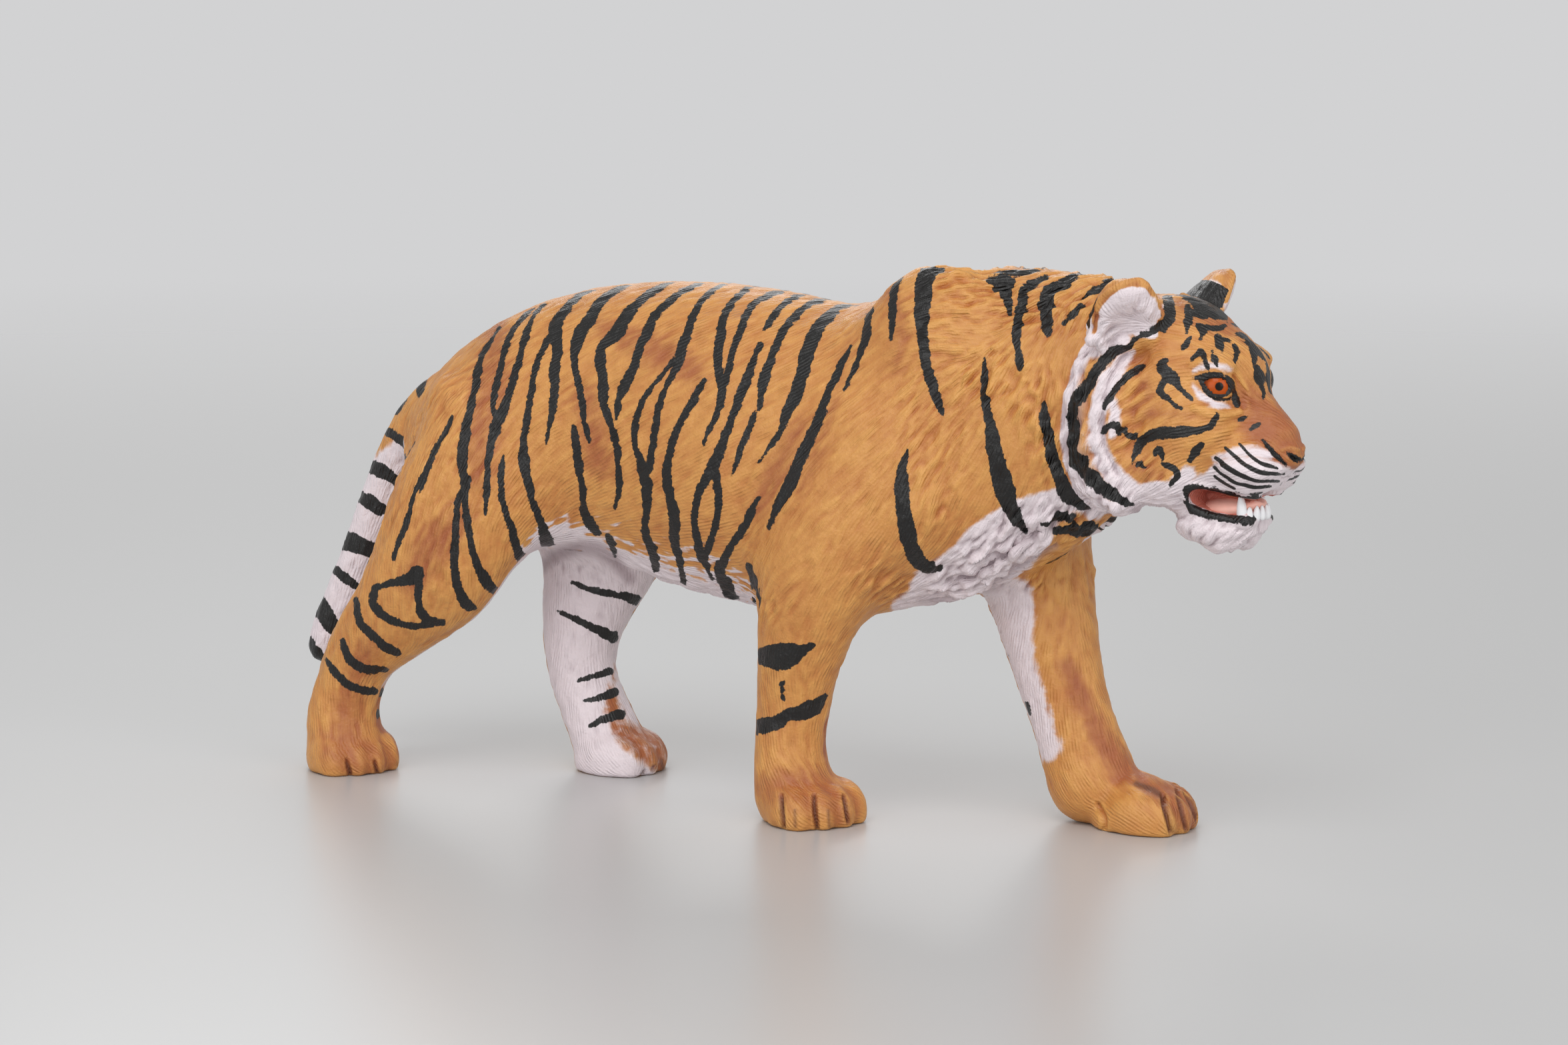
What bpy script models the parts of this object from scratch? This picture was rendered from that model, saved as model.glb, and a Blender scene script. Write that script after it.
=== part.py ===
"""Walking tiger figure, one solid piece of moulded plastic on four flat soles.

The animal faces +X with its left side at +Y and stands on Z = 0.
Every form below is sized in millimetres and built in metres.
"""

import math

import bmesh
import bpy
import numpy as np
from mathutils import Matrix, Vector

MM = 0.001
FIGURE_NAME = "tiger_figure"
FUR_COLOUR = (0.62, 0.33, 0.09, 1.0)
RIGHT, LEFT = -1, 1

# Stance
HALF_STANCE = 8.0
RIGHT_FORE_FOOT_X = -0.6
LEFT_FORE_FOOT_X = 34.0
RIGHT_HIND_FOOT_X = -65.6
LEFT_HIND_FOOT_X = -36.4

# Paws
FORE_PAW_LENGTH = 12.6
FORE_PAW_WIDTH = 11.2
HIND_PAW_LENGTH = 11.8
HIND_PAW_WIDTH = 10.6
NEAR_TOES_TURNED = 26.0
FAR_TOES_TURNED = 6.0
SOLE_CUT = 0.9
# Pad and instep: centre, how much shorter and narrower than the paw, half height, pitch
PAW_FORMS = {
    "pad": ((-1.0, 0, 2.2), 1.0, 0.3, 3.2, 0),
    "instep": ((-0.6, 0, 4.0), 1.8, 1.2, 3.2, 14),
}
TOE_COUNT = 4
TOE_HALF_LENGTH = 4.0
TOE_HALF_HEIGHT = 3.2
TOE_HEIGHT = 2.6
TOE_PITCH = 14
TOE_SETBACK = 3.9
OUTER_TOE_SETBACK = 0.7
TOE_FULLNESS = 1.36
TOE_CLOSENESS = 0.94

# Tail
TAIL_RADIUS = 2.5
TAIL_TAPER = 0.3

# Head: middle between the cheeks, and how far it is turned to the right
HEAD_X = 42.0
HEAD_Z = 50.0
HEAD_TURN = -5.0

# Eyes: ball and centre, and the opening between the lids
EYE_RADIUS = 1.9
EYE_CENTRE = (5.8, 4.3, 3.0)
EYE_OPENING = (2.2, 1.5, 1.35)
EYE_PITCH = 14
EYE_TURN = 28.0

# Ears: where they stand, how they lean, and the cup in front
EAR_WIDTH = 7.4
EAR_HEIGHT = 9.0
EAR_WALL = 1.1
EAR_TURN = 52.0
EAR_BASE = (-3.6, 6.4, 6.4)
EAR_LEAN = (0.36, 0.5, 0.79)
EAR_CUP_SETBACK = 2.15
# Shares of the ear's height, wall and width, from the root to the tip
EAR_SHELL = ((0, 2.4, 0.9), (0.3, 2.1, 1.0), (0.6, 1.6, 0.92), (0.86, 1.1, 0.66))
EAR_CUP = ((0.12, 1.6, 0.6), (0.35, 1.6, 0.78), (0.6, 1.4, 0.74), (0.8, 1.0, 0.5))

# Mouth: the gap from its corner to the front, with the roof level
MOUTH_FRONT = 12.4
MOUTH_DEPTH = 9.6
MOUTH_GAPE = 3.3
MOUTH_ROOF = -8.2
MOUTH_HALF_WIDTH = 12.0
MOUTH_CORNER_DROP = 1.35
# Lip lines from the corner forwards: distance from it, and rise from the roof or the floor
UPPER_LIP = ((0.5, -0.4), (1.9, 0.0), (5.0, -0.3), (13.0, -0.8))
LOWER_LIP = ((13.0, 0.2), (6.6, -0.1), (3.4, 0.3), (1.0, 1.0))

# Teeth and tongue: places from the mouth's roof or floor
TONGUE = ((5.4, 0, 0.3), (4.6, 2.5, 1.5), 4)
PALATE = ((4.6, 0, -0.8), (4.6, 1.6, 2.6), 0)
LOWER_FANG = (8.3, 2.0, -0.5)
UPPER_FANG = (9.6, 2.3, 0.2)
FANG_HEIGHT = 3.1
FANG_RADIUS = 0.75
FANG_TIP_RADIUS = 0.35
UPPER_FANG_HEIGHT = 1.8
FRONT_TOOTH = (9.3, 0.4, 0.4)
FRONT_TOOTH_SIZE = (0.5, 0.45, 0.8)
FRONT_TOOTH_SPACING = 0.75
FRONT_TEETH_A_SIDE = 2

# Mesh quality
BODY_VOXEL = 0.75
HEAD_VOXEL = 0.4
SKIN_VOXEL = 0.42
SOFTENING = 0.5
REFILLING = -0.52
FORM_ROUNDING = 2
SKIN_ROUNDING = 3
CREASE_STEP = 0.7
BODY_FILLING = 150
HEAD_FILLING = 36
EAR_FILLING = 4
PAW_FILLING = 4
SKIN_FILLING = 5
CUT_TOLERANCE = 0.03
TRIANGLE_LIMIT = 11700
NECK_BAND = 11.0
PAW_BAND = 7.5
HEAD_COARSENESS = 0.2
PAW_COARSENESS = 0.5
KEEPING = 0.0003

# Torso stations from rump to nape: x, back line z, belly line z, half width
TORSO = (
    (-58.5, 47.6, 39.5, 3.4),
    (-55.5, 50.0, 34.5, 7.2),
    (-49.0, 54.4, 31.5, 10.0),
    (-40.0, 58.8, 29.5, 11.0),
    (-30.0, 61.3, 28.0, 10.6),
    (-20.0, 61.9, 25.6, 11.2),
    (-9.0, 61.0, 24.0, 11.8),
    (1.0, 59.8, 24.2, 11.8),
    (10.0, 61.4, 26.4, 11.2),
    (19.0, 64.4, 30.2, 10.2),
    (27.0, 65.4, 35.0, 9.2),
)
# The neck ends inside the head: distance behind it, above its middle and below, half width
NECK_END = ((-8.5, 14.0, -10.0, 8.2), (-3.5, 11.6, -7.0, 6.6))

# Leg stations from the trunk down, each from the foot's centre: x, outward, z, half depth,
# half width
RIGHT_FORELEG = (
    (9.6, 0.4, 46.0, 8.6, 4.4),
    (5.6, 1.0, 38.0, 8.8, 5.0),
    (2.6, 1.1, 32.0, 7.8, 5.2),
    (0.4, 0.8, 26.0, 6.4, 4.9),
    (-1.4, 0.3, 19.0, 4.9, 4.2),
    (-2.4, 0.0, 12.5, 4.2, 3.8),
    (-2.6, 0.0, 8.5, 4.2, 4.2),
    (-2.0, 0.0, 4.0, 4.8, 4.8),
)
LEFT_FORELEG = (
    (-20.0, 0.4, 47.0, 8.6, 4.4),
    (-17.4, 1.0, 40.0, 8.6, 5.0),
    (-15.4, 1.1, 33.0, 7.7, 5.2),
    (-13.6, 0.8, 26.6, 6.5, 4.9),
    (-11.4, 0.3, 19.0, 5.4, 4.4),
    (-9.3, 0.0, 13.0, 4.9, 4.1),
    (-7.8, 0.0, 9.0, 5.1, 4.3),
    (-6.4, 0.0, 5.4, 5.4, 4.7),
)
RIGHT_HIND_LEG = (
    (20.0, -0.8, 45.0, 9.0, 5.0),
    (17.0, 0.2, 37.0, 10.6, 5.8),
    (12.6, 0.6, 29.0, 10.4, 5.8),
    (7.0, 0.4, 22.0, 7.6, 5.0),
    (2.2, 0.1, 15.8, 4.8, 4.2),
    (0.2, 0.0, 11.6, 4.2, 3.9),
    (-1.0, 0.0, 8.0, 4.4, 4.3),
    (-0.6, 0.0, 4.0, 4.9, 4.8),
)
LEFT_HIND_LEG = (
    (-5.0, -0.8, 45.0, 10.4, 5.2),
    (-3.2, 0.2, 37.0, 10.2, 5.8),
    (-3.0, 0.6, 29.0, 8.6, 5.7),
    (-5.0, 0.4, 22.0, 6.4, 4.8),
    (-5.9, 0.1, 16.0, 4.8, 4.2),
    (-5.2, 0.0, 11.6, 4.2, 3.9),
    (-3.4, 0.0, 7.6, 4.2, 4.3),
    (-1.6, 0.0, 4.0, 4.4, 4.6),
)

# Muscles of the trunk and legs: the foot they belong to or none, side,
# centre from that foot, radii along x, y and z, and pitch
MUSCLES = {
    "right_shoulder_blade": (RIGHT_FORE_FOOT_X, RIGHT, (14.2, -2.2, 51.6), (10.0, 5.0, 13.4), 8),
    "left_shoulder_blade": (LEFT_FORE_FOOT_X, LEFT, (-18.0, -2.2, 50.0), (9.6, 5.0, 12.8), -6),
    "right_upper_arm": (RIGHT_FORE_FOOT_X, RIGHT, (10.0, 0.2, 38.6), (10.6, 4.6, 8.0), -28),
    "left_upper_arm": (LEFT_FORE_FOOT_X, LEFT, (-17.0, 0.6, 39.0), (9.5, 5.0, 9.0), 0),
    "right_thigh": (RIGHT_HIND_FOOT_X, RIGHT, (18.4, -0.6, 37.4), (10.8, 6.2, 13.0), 24),
    "left_thigh": (LEFT_HIND_FOOT_X, LEFT, (-4.2, -0.6, 38.0), (10.8, 6.2, 13.0), 4),
    "right_ribs": (0.0, RIGHT, (-10.0, -3.8, 42.0), (20.0, 8.0, 14.5), 0),
    "left_ribs": (0.0, LEFT, (-10.0, -3.8, 42.0), (20.0, 8.0, 14.5), 0),
}

# Tail centre line from the root down: x, y, z
TAIL = (
    (-51.0, 0.0, 49.0),
    (-56.4, 0.0, 46.8),
    (-60.6, 0.0, 43.2),
    (-64.0, 0.2, 38.0),
    (-66.8, 0.4, 32.4),
    (-69.3, 0.4, 26.9),
    (-71.4, 0.2, 22.2),
    (-73.8, 0.0, 17.6),
    (-75.0, 0.0, 14.4),
)

# Forms of the head, from its middle: centre, radii and pitch; the last group is on both sides
HEAD_MIDDLE_FORMS = {
    "cranium": ((-1.6, 0, 2.6), (9.4, 8.2, 9.6), 0),
    "forehead": ((3.6, 0, 2.4), (6.2, 5.6, 6.6), 20),
    "muzzle": ((6.4, 0, -5.4), (6.4, 4.9, 4.0), 6),
    "nose": ((12.8, 0, -4.6), (1.7, 2.2, 1.6), 20),
    "jaw": ((2.0, 0, -9.6), (8.2, 4.8, 2.4), 10),
    "chin": ((4.3, 0, -12.4), (4.1, 3.7, 3.1), 0),
    "throat": ((-5.0, 0, -6.4), (8.0, 6.0, 4.6), 0),
}
HEAD_SIDE_FORMS = {
    "brow": ((5.5, 3.7, 4.9), (2.8, 2.9, 2.0), 0),
    "cheekbone": ((1.4, 4.7, -1.6), (6.8, 3.8, 5.6), 0),
    "lip_pad": ((8.8, 2.6, -6.0), (3.9, 2.9, 3.3), 14),
    "ruff": ((-5.9, 6.6, -1.2), (3.9, 3.9, 9.8), 4),
    "ruff_tip": ((-4.8, 6.9, -8.0), (3.2, 2.6, 4.0), -20),
    "jowl": ((-1.0, 4.8, -6.2), (6.4, 3.6, 4.2), 0),
}
# The nose bridge as a capsule: centre and radius at each end
NOSE_BRIDGE = (((4.8, 0, 2.4), 3.3), ((12.2, 0, -4.0), 2.6))


def clear_scene():
    """Empties the startup scene."""
    for obj in list(bpy.data.objects):
        bpy.data.objects.remove(obj, do_unlink=True)


def new_collection(name):
    """A collection linked to the scene."""
    collection = bpy.data.collections.new(name)
    bpy.context.scene.collection.children.link(collection)
    return collection


def add_object(name, mesh, collection):
    """An object that carries the mesh."""
    obj = bpy.data.objects.new(name, mesh)
    collection.objects.link(obj)
    return obj


def mesh_from(work, name):
    """Turns a bmesh into a mesh and frees it."""
    bmesh.ops.recalc_face_normals(work, faces=work.faces)
    mesh = bpy.data.meshes.new(name)
    work.to_mesh(mesh)
    work.free()
    return mesh


def smooth_stations(rows, steps):
    """Catmull-Rom points through the rows, with the given steps to a span."""
    table = np.array(rows, float)
    padded = np.vstack([2 * table[0] - table[1], table, 2 * table[-1] - table[-2]])
    points = []
    for span in range(len(table) - 1):
        before, start, end, after = padded[span : span + 4]
        for step in range(steps):
            t = step / steps
            points.append(
                0.5
                * (
                    2 * start
                    + (end - before) * t
                    + (2 * before - 5 * start + 4 * end - after) * t**2
                    + (3 * start - before - 3 * end + after) * t**3
                )
            )
    points.append(table[-1])
    return np.array(points)


def loft(name, centres, half_depths, half_widths, collection, ring_points=36):
    """Skins elliptical rings that stand square to the line of centres, with round ends."""
    centres = np.array(centres, float)
    tangents = np.gradient(centres, axis=0)
    tangents /= np.linalg.norm(tangents, axis=1)[:, None]
    last = len(centres) - 1
    round_start = [(0, -share) for share in (0.95, 0.75, 0.4)]
    round_end = [(last, share) for share in (0.4, 0.75, 0.95)]
    order = round_start + [(index, 0.0) for index in range(last + 1)] + round_end
    work = bmesh.new()
    rings = []
    for index, cap in order:
        along = Vector(tangents[index])
        across = Vector((0, 1, 0))
        across = (across - along * across.dot(along)).normalized()
        deep = along.cross(across)
        shrink = math.sqrt(1 - cap * cap)
        reach = min(half_depths[index], half_widths[index])
        centre = Vector(centres[index]) + along * cap * reach
        ring = []
        for step in range(ring_points):
            angle = 2 * math.pi * step / ring_points
            point = centre
            point = point + deep * half_depths[index] * shrink * math.cos(angle)
            point = point + across * half_widths[index] * shrink * math.sin(angle)
            ring.append(work.verts.new(point * MM))
        rings.append(ring)
    for here, there in zip(rings, rings[1:]):
        for step in range(ring_points):
            beside = (step + 1) % ring_points
            work.faces.new((here[step], there[step], there[beside], here[beside]))
    work.faces.new(rings[0])
    work.faces.new(rings[-1])
    return add_object(name, mesh_from(work, name), collection)


def ellipsoid(name, centre, radii, collection, pitch=0.0, yaw=0.0):
    """A sphere primitive stretched to three radii, turned and placed."""
    work = bmesh.new()
    bmesh.ops.create_uvsphere(work, u_segments=32, v_segments=20, radius=1.0)
    turn = Matrix.Rotation(math.radians(yaw), 4, "Z")
    turn = turn @ Matrix.Rotation(math.radians(pitch), 4, "Y")
    place = Matrix.Translation(Vector(centre) * MM) @ turn
    size = Matrix.Diagonal((*(Vector(radii) * MM), 1.0))
    bmesh.ops.transform(work, matrix=place @ size, verts=work.verts)
    return add_object(name, mesh_from(work, name), collection)


def cone(name, foot, tip, foot_radius, tip_radius, collection):
    """A cone primitive that stands on one point and ends at another."""
    foot, tip = Vector(foot) * MM, Vector(tip) * MM
    axis = tip - foot
    work = bmesh.new()
    bmesh.ops.create_cone(
        work,
        cap_ends=True,
        segments=24,
        radius1=foot_radius * MM,
        radius2=tip_radius * MM,
        depth=axis.length,
    )
    turn = Vector((0, 0, 1)).rotation_difference(axis).to_matrix().to_4x4()
    place = Matrix.Translation((foot + tip) / 2) @ turn
    bmesh.ops.transform(work, matrix=place, verts=work.verts)
    return add_object(name, mesh_from(work, name), collection)


def settle(obj):
    """Replaces an object's mesh by what its modifiers make of it."""
    graph = bpy.context.evaluated_depsgraph_get()
    graph.update()
    mesh = bpy.data.meshes.new_from_object(obj.evaluated_get(graph))
    obj.modifiers.clear()
    obj.data = mesh
    return obj


def joined(name, parts, collection):
    """One object from several, which are used up."""
    work = bmesh.new()
    for part in parts:
        work.from_mesh(part.data)
    mesh = bpy.data.meshes.new(name)
    work.to_mesh(mesh)
    work.free()
    for part in parts:
        bpy.data.objects.remove(part, do_unlink=True)
    return add_object(name, mesh, collection)


def fused(name, parts, voxel, collection, rounding=FORM_ROUNDING):
    """One skin over overlapping forms, its voxel steps smoothed out at the same volume."""
    obj = joined(name, parts, collection)
    remesh = obj.modifiers.new("skin", "REMESH")
    remesh.mode = "VOXEL"
    remesh.voxel_size = voxel * MM
    for label, factor in (("soften", SOFTENING), ("refill", REFILLING)):
        smooth = obj.modifiers.new(label, "SMOOTH")
        smooth.factor = factor
        smooth.iterations = rounding
    return settle(obj)


def fill_creases(obj, passes):
    """Blends the forms: hollows between them fill up, and what stands out stays."""
    mesh = obj.data
    count = len(mesh.vertices)
    points = np.empty(count * 3)
    mesh.vertices.foreach_get("co", points)
    points = points.reshape(-1, 3)
    edges = np.empty(len(mesh.edges) * 2, int)
    mesh.edges.foreach_get("vertices", edges)
    first, second = edges.reshape(-1, 2).T
    degree = np.bincount(edges, minlength=count)[:, None]
    normals = np.empty(count * 3)
    for _ in range(passes):
        mesh.vertices.foreach_set("co", points.ravel())
        mesh.update()
        mesh.vertices.foreach_get("normal", normals)
        outward = normals.reshape(-1, 3)
        total = np.zeros_like(points)
        for axis in range(3):
            total[:, axis] = np.bincount(first, points[second, axis], count)
            total[:, axis] += np.bincount(second, points[first, axis], count)
        drift = total / degree - points
        rise = np.einsum("ij,ij->i", drift, outward)[:, None]
        points = points + CREASE_STEP * np.where(rise > 0, drift, drift - rise * outward)
    mesh.vertices.foreach_set("co", points.ravel())
    mesh.update()
    return obj


def cut(obj, cutters):
    """Cuts the cutters out of the object and removes them."""
    for cutter in cutters:
        boolean = obj.modifiers.new("cut", "BOOLEAN")
        boolean.operation = "DIFFERENCE"
        boolean.solver = "EXACT"
        boolean.object = cutter
    settle(obj)
    for cutter in cutters:
        bpy.data.objects.remove(cutter, do_unlink=True)
    return obj


def torso(collection):
    """Trunk and neck, from the rump into the back of the head."""
    neck = [
        (HEAD_X + back, HEAD_Z + above, HEAD_Z + below, width)
        for back, above, below, width in NECK_END
    ]
    rows = smooth_stations([*TORSO, *neck], 4)
    centres = [(x, 0, (top + low) / 2) for x, top, low, _ in rows]
    depths = [(top - low) / 2 for _, top, low, _ in rows]
    return loft("torso", centres, depths, rows[:, 3], collection, 48)


def leg(name, stations, foot_x, side, collection):
    """One leg from inside the trunk down to the ankle."""
    rows = smooth_stations(stations, 4)
    centres = [(foot_x + x, side * (HALF_STANCE + out), z) for x, out, z, _, _ in rows]
    return loft(name, centres, rows[:, 3], rows[:, 4], collection)


def tail(collection):
    """The tail, which hangs down behind the hind leg and narrows a little."""
    rows = smooth_stations(TAIL, 5)
    share = np.linspace(0, 1, len(rows))
    radii = TAIL_RADIUS * (1 + TAIL_TAPER * (0.8 - share))
    return loft("tail", rows, radii, radii, collection)


def muscles(collection):
    """Shoulders, upper arms, ribs and thighs."""
    made = []
    for name, (foot_x, side, centre, radii, pitch) in MUSCLES.items():
        x, out, z = centre
        place = (foot_x + x, side * (HALF_STANCE + out), z)
        made.append(ellipsoid(name, place, radii, collection, pitch))
    return made


def paw(name, x, side, turned, length, width, collection):
    """A broad pad with toes spread across its front."""
    yaw = side * turned
    turn = Matrix.Rotation(math.radians(yaw), 3, "Z")
    middle = Vector((x, side * HALF_STANCE, 0))
    half_length, half_width = length / 2, width / 2
    parts = []

    def form(label, offset, radii, pitch=0.0):
        place = middle + turn @ Vector(offset)
        parts.append(ellipsoid(f"{name}_{label}", place, radii, collection, pitch, yaw))

    for label, (offset, shorter, narrower, half_height, pitch) in PAW_FORMS.items():
        form(label, offset, (half_length - shorter, half_width - narrower, half_height), pitch)
    toe_width = width / TOE_COUNT
    for index in range(TOE_COUNT):
        place = index - (TOE_COUNT - 1) / 2
        lead = half_length - TOE_SETBACK - OUTER_TOE_SETBACK * abs(place) ** 1.5
        radii = (TOE_HALF_LENGTH, toe_width * TOE_FULLNESS / 2, TOE_HALF_HEIGHT)
        offset = (lead, place * toe_width * TOE_CLOSENESS, TOE_HEIGHT)
        form(f"toe_{index + 1}", offset, radii, TOE_PITCH)
    whole = fused(name, parts, HEAD_VOXEL, collection)
    return fill_creases(whole, PAW_FILLING)


def paws(collection):
    """All four paws; the right-hand ones are turned outwards."""
    fore = (FORE_PAW_LENGTH, FORE_PAW_WIDTH, collection)
    hind = (HIND_PAW_LENGTH, HIND_PAW_WIDTH, collection)
    return [
        paw("right_fore_paw", RIGHT_FORE_FOOT_X, RIGHT, NEAR_TOES_TURNED, *fore),
        paw("left_fore_paw", LEFT_FORE_FOOT_X, LEFT, FAR_TOES_TURNED, *fore),
        paw("right_hind_paw", RIGHT_HIND_FOOT_X, RIGHT, NEAR_TOES_TURNED, *hind),
        paw("left_hind_paw", LEFT_HIND_FOOT_X, LEFT, FAR_TOES_TURNED, *hind),
    ]


def ear(side, collection):
    """A rounded ear that leans out and forwards, and the cup that hollows it."""
    mirror = Vector((1, side, 1))
    base = Vector(EAR_BASE) * mirror
    rise = (Vector(EAR_LEAN) * mirror).normalized()
    turn = math.radians(side * EAR_TURN)
    facing = Vector((math.cos(turn), math.sin(turn), 0))
    facing = (facing - rise * facing.dot(rise)).normalized()
    frame = Matrix((facing, rise.cross(facing), rise)).transposed().to_4x4()

    def form(name, start, rows):
        heights = [(0, 0, EAR_HEIGHT * share) for share, _, _ in rows]
        thick = [EAR_WALL * wall for _, wall, _ in rows]
        wide = [EAR_WIDTH / 2 * width for _, _, width in rows]
        shape = loft(name, heights, thick, wide, collection)
        shape.data.transform(Matrix.Translation(start * MM) @ frame)
        return shape

    shell = form("ear", base, EAR_SHELL)
    cup = form("ear_cup", base + facing * EAR_WALL * EAR_CUP_SETBACK, EAR_CUP)
    return shell, cup


def eye(side, collection):
    """The socket to cut under the brow, and the eyeball that sits in it."""
    centre = Vector(EYE_CENTRE) * Vector((1, side, 1))
    turn = math.radians(EYE_TURN)
    facing = Vector((math.sin(turn), side * math.cos(turn), 0)) * EYE_OPENING[1]
    yaw = -side * EYE_TURN
    socket = ellipsoid("socket", centre + facing, EYE_OPENING, collection, EYE_PITCH, yaw)
    ball = ellipsoid("eye", centre, (EYE_RADIUS,) * 3, collection)
    return socket, ball


def mouth_cutter(collection):
    """The gap between the lips, open to the front and both sides."""
    corner_x = MOUTH_FRONT - MOUTH_DEPTH
    floor_z = MOUTH_ROOF - MOUTH_GAPE
    outline = [(corner_x, MOUTH_ROOF - MOUTH_CORNER_DROP)]
    outline += [(corner_x + x, MOUTH_ROOF + rise) for x, rise in UPPER_LIP]
    outline += [(corner_x + x, floor_z + rise) for x, rise in LOWER_LIP]
    work = bmesh.new()
    near = [work.verts.new(Vector((x, -MOUTH_HALF_WIDTH, z)) * MM) for x, z in outline]
    far = [work.verts.new(Vector((x, MOUTH_HALF_WIDTH, z)) * MM) for x, z in outline]
    count = len(outline)
    work.faces.new(near)
    work.faces.new(far)
    for step in range(count):
        beside = (step + 1) % count
        work.faces.new((near[step], near[beside], far[beside], far[step]))
    return add_object("mouth_cutter", mesh_from(work, "mouth_cutter"), collection)


def mouth_parts(collection):
    """The tongue, the inner wall that it lies against, the fangs and the front teeth."""
    roof = Vector((0, 0, MOUTH_ROOF))
    floor = Vector((0, 0, MOUTH_ROOF - MOUTH_GAPE))
    parts = []
    for name, level, (centre, radii, pitch) in (("tongue", floor, TONGUE), ("palate", roof, PALATE)):
        parts.append(ellipsoid(name, level + Vector(centre), radii, collection, pitch))
    fangs = (
        ("lower_fang", floor + Vector(LOWER_FANG), FANG_HEIGHT),
        ("upper_fang", roof + Vector(UPPER_FANG), -UPPER_FANG_HEIGHT),
    )
    for side in (RIGHT, LEFT):
        mirror = Vector((1, side, 1))
        for name, place, height in fangs:
            tip = place + Vector((0, 0, height))
            ends = (place * mirror, tip * mirror)
            parts.append(cone(name, *ends, FANG_RADIUS, FANG_TIP_RADIUS, collection))
        for step in range(FRONT_TEETH_A_SIDE):
            place = floor + Vector(FRONT_TOOTH) + Vector((0, step * FRONT_TOOTH_SPACING, 0))
            parts.append(ellipsoid("front_tooth", place * mirror, FRONT_TOOTH_SIZE, collection))
    return parts


def head(collection):
    """The head in its own frame, then turned and placed on the neck."""
    forms = []
    for name, (centre, radii, pitch) in HEAD_MIDDLE_FORMS.items():
        forms.append(ellipsoid(name, centre, radii, collection, pitch))
    for name, (centre, radii, pitch) in HEAD_SIDE_FORMS.items():
        x, out, z = centre
        for side in (RIGHT, LEFT):
            forms.append(ellipsoid(name, (x, side * out, z), radii, collection, pitch))
    (back, back_radius), (front, front_radius) = NOSE_BRIDGE
    forms.append(cone("nose_bridge", back, front, back_radius, front_radius, collection))
    skull = fused("skull", forms, HEAD_VOXEL, collection)
    fill_creases(skull, HEAD_FILLING)
    shells, cups = zip(*(ear(side, collection) for side in (RIGHT, LEFT)))
    skull = fused("skull_with_ears", [skull, *shells], HEAD_VOXEL, collection)
    fill_creases(skull, EAR_FILLING)
    sockets, eyes = zip(*(eye(side, collection) for side in (RIGHT, LEFT)))
    cut(skull, [mouth_cutter(collection), *cups, *sockets])
    whole = joined("head", [skull, *mouth_parts(collection), *eyes], collection)
    turn = Matrix.Rotation(math.radians(HEAD_TURN), 4, "Z")
    place = Matrix.Translation(Vector((HEAD_X, 0, HEAD_Z)) * MM)
    whole.data.transform(place @ turn)
    return whole


def body(collection):
    """Trunk, legs and tail as one blended form."""
    forms = [torso(collection), tail(collection), *muscles(collection)]
    forms.append(leg("right_foreleg", RIGHT_FORELEG, RIGHT_FORE_FOOT_X, RIGHT, collection))
    forms.append(leg("left_foreleg", LEFT_FORELEG, LEFT_FORE_FOOT_X, LEFT, collection))
    forms.append(leg("right_hind_leg", RIGHT_HIND_LEG, RIGHT_HIND_FOOT_X, RIGHT, collection))
    forms.append(leg("left_hind_leg", LEFT_HIND_LEG, LEFT_HIND_FOOT_X, LEFT, collection))
    form = fused("body", forms, BODY_VOXEL, collection)
    return fill_creases(form, BODY_FILLING)


def head_share(obj):
    """A vertex group of how coarse each point may become: the head stays finest."""
    coarse = obj.vertex_groups.new(name="coarse")
    for vertex in obj.data.vertices:
        x, _, z = vertex.co / MM
        if x > HEAD_X - NECK_BAND:
            coarse.add([vertex.index], HEAD_COARSENESS, "REPLACE")
        elif z < PAW_BAND:
            coarse.add([vertex.index], PAW_COARSENESS, "REPLACE")
        else:
            coarse.add([vertex.index], 1.0, "REPLACE")
    return coarse.name


def thinned(obj):
    """Brings the skin under the triangle limit."""
    decimate = obj.modifiers.new("thin", "DECIMATE")
    decimate.vertex_group = head_share(obj)
    decimate.vertex_group_factor = KEEPING
    obj.data.calc_loop_triangles()
    decimate.ratio = TRIANGLE_LIMIT / len(obj.data.loop_triangles)
    settle(obj)
    return obj


def flat_soles(obj):
    """Cuts the paws off level and closes each cut with a flat sole."""
    ground = SOLE_CUT * MM
    work = bmesh.new()
    work.from_mesh(obj.data)
    everything = [*work.verts, *work.edges, *work.faces]
    bmesh.ops.bisect_plane(
        work,
        geom=everything,
        dist=CUT_TOLERANCE * MM,
        plane_co=(0, 0, ground),
        plane_no=(0, 0, -1),
        clear_outer=True,
    )
    for vertex in work.verts:
        if vertex.co.z < ground + CUT_TOLERANCE * MM:
            vertex.co.z = ground
    rim = [vertex for vertex in work.verts if vertex.is_boundary]
    bmesh.ops.remove_doubles(work, verts=rim, dist=CUT_TOLERANCE * MM)
    rim = [edge for edge in work.edges if edge.is_boundary]
    soles = bmesh.ops.holes_fill(work, edges=rim, sides=0)["faces"]
    bmesh.ops.triangulate(work, faces=soles)
    bmesh.ops.recalc_face_normals(work, faces=work.faces)
    work.to_mesh(obj.data)
    work.free()


def centre_on_ground(obj):
    """Puts the origin at the middle of the figure's outline, on the soles' level."""
    corners = [Vector(corner) for corner in obj.bound_box]
    middle = (corners[0] + corners[6]) / 2
    obj.data.transform(Matrix.Translation((-middle.x, -middle.y, -SOLE_CUT * MM)))
    obj.data.update()


def painted_plastic():
    """Satin paint over moulded plastic."""
    material = bpy.data.materials.new("painted_plastic")
    material.use_nodes = True
    shader = material.node_tree.nodes["Principled BSDF"]
    shader.inputs["Base Color"].default_value = FUR_COLOUR
    shader.inputs["Roughness"].default_value = 0.4
    shader.inputs["Metallic"].default_value = 0.0
    return material


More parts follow.
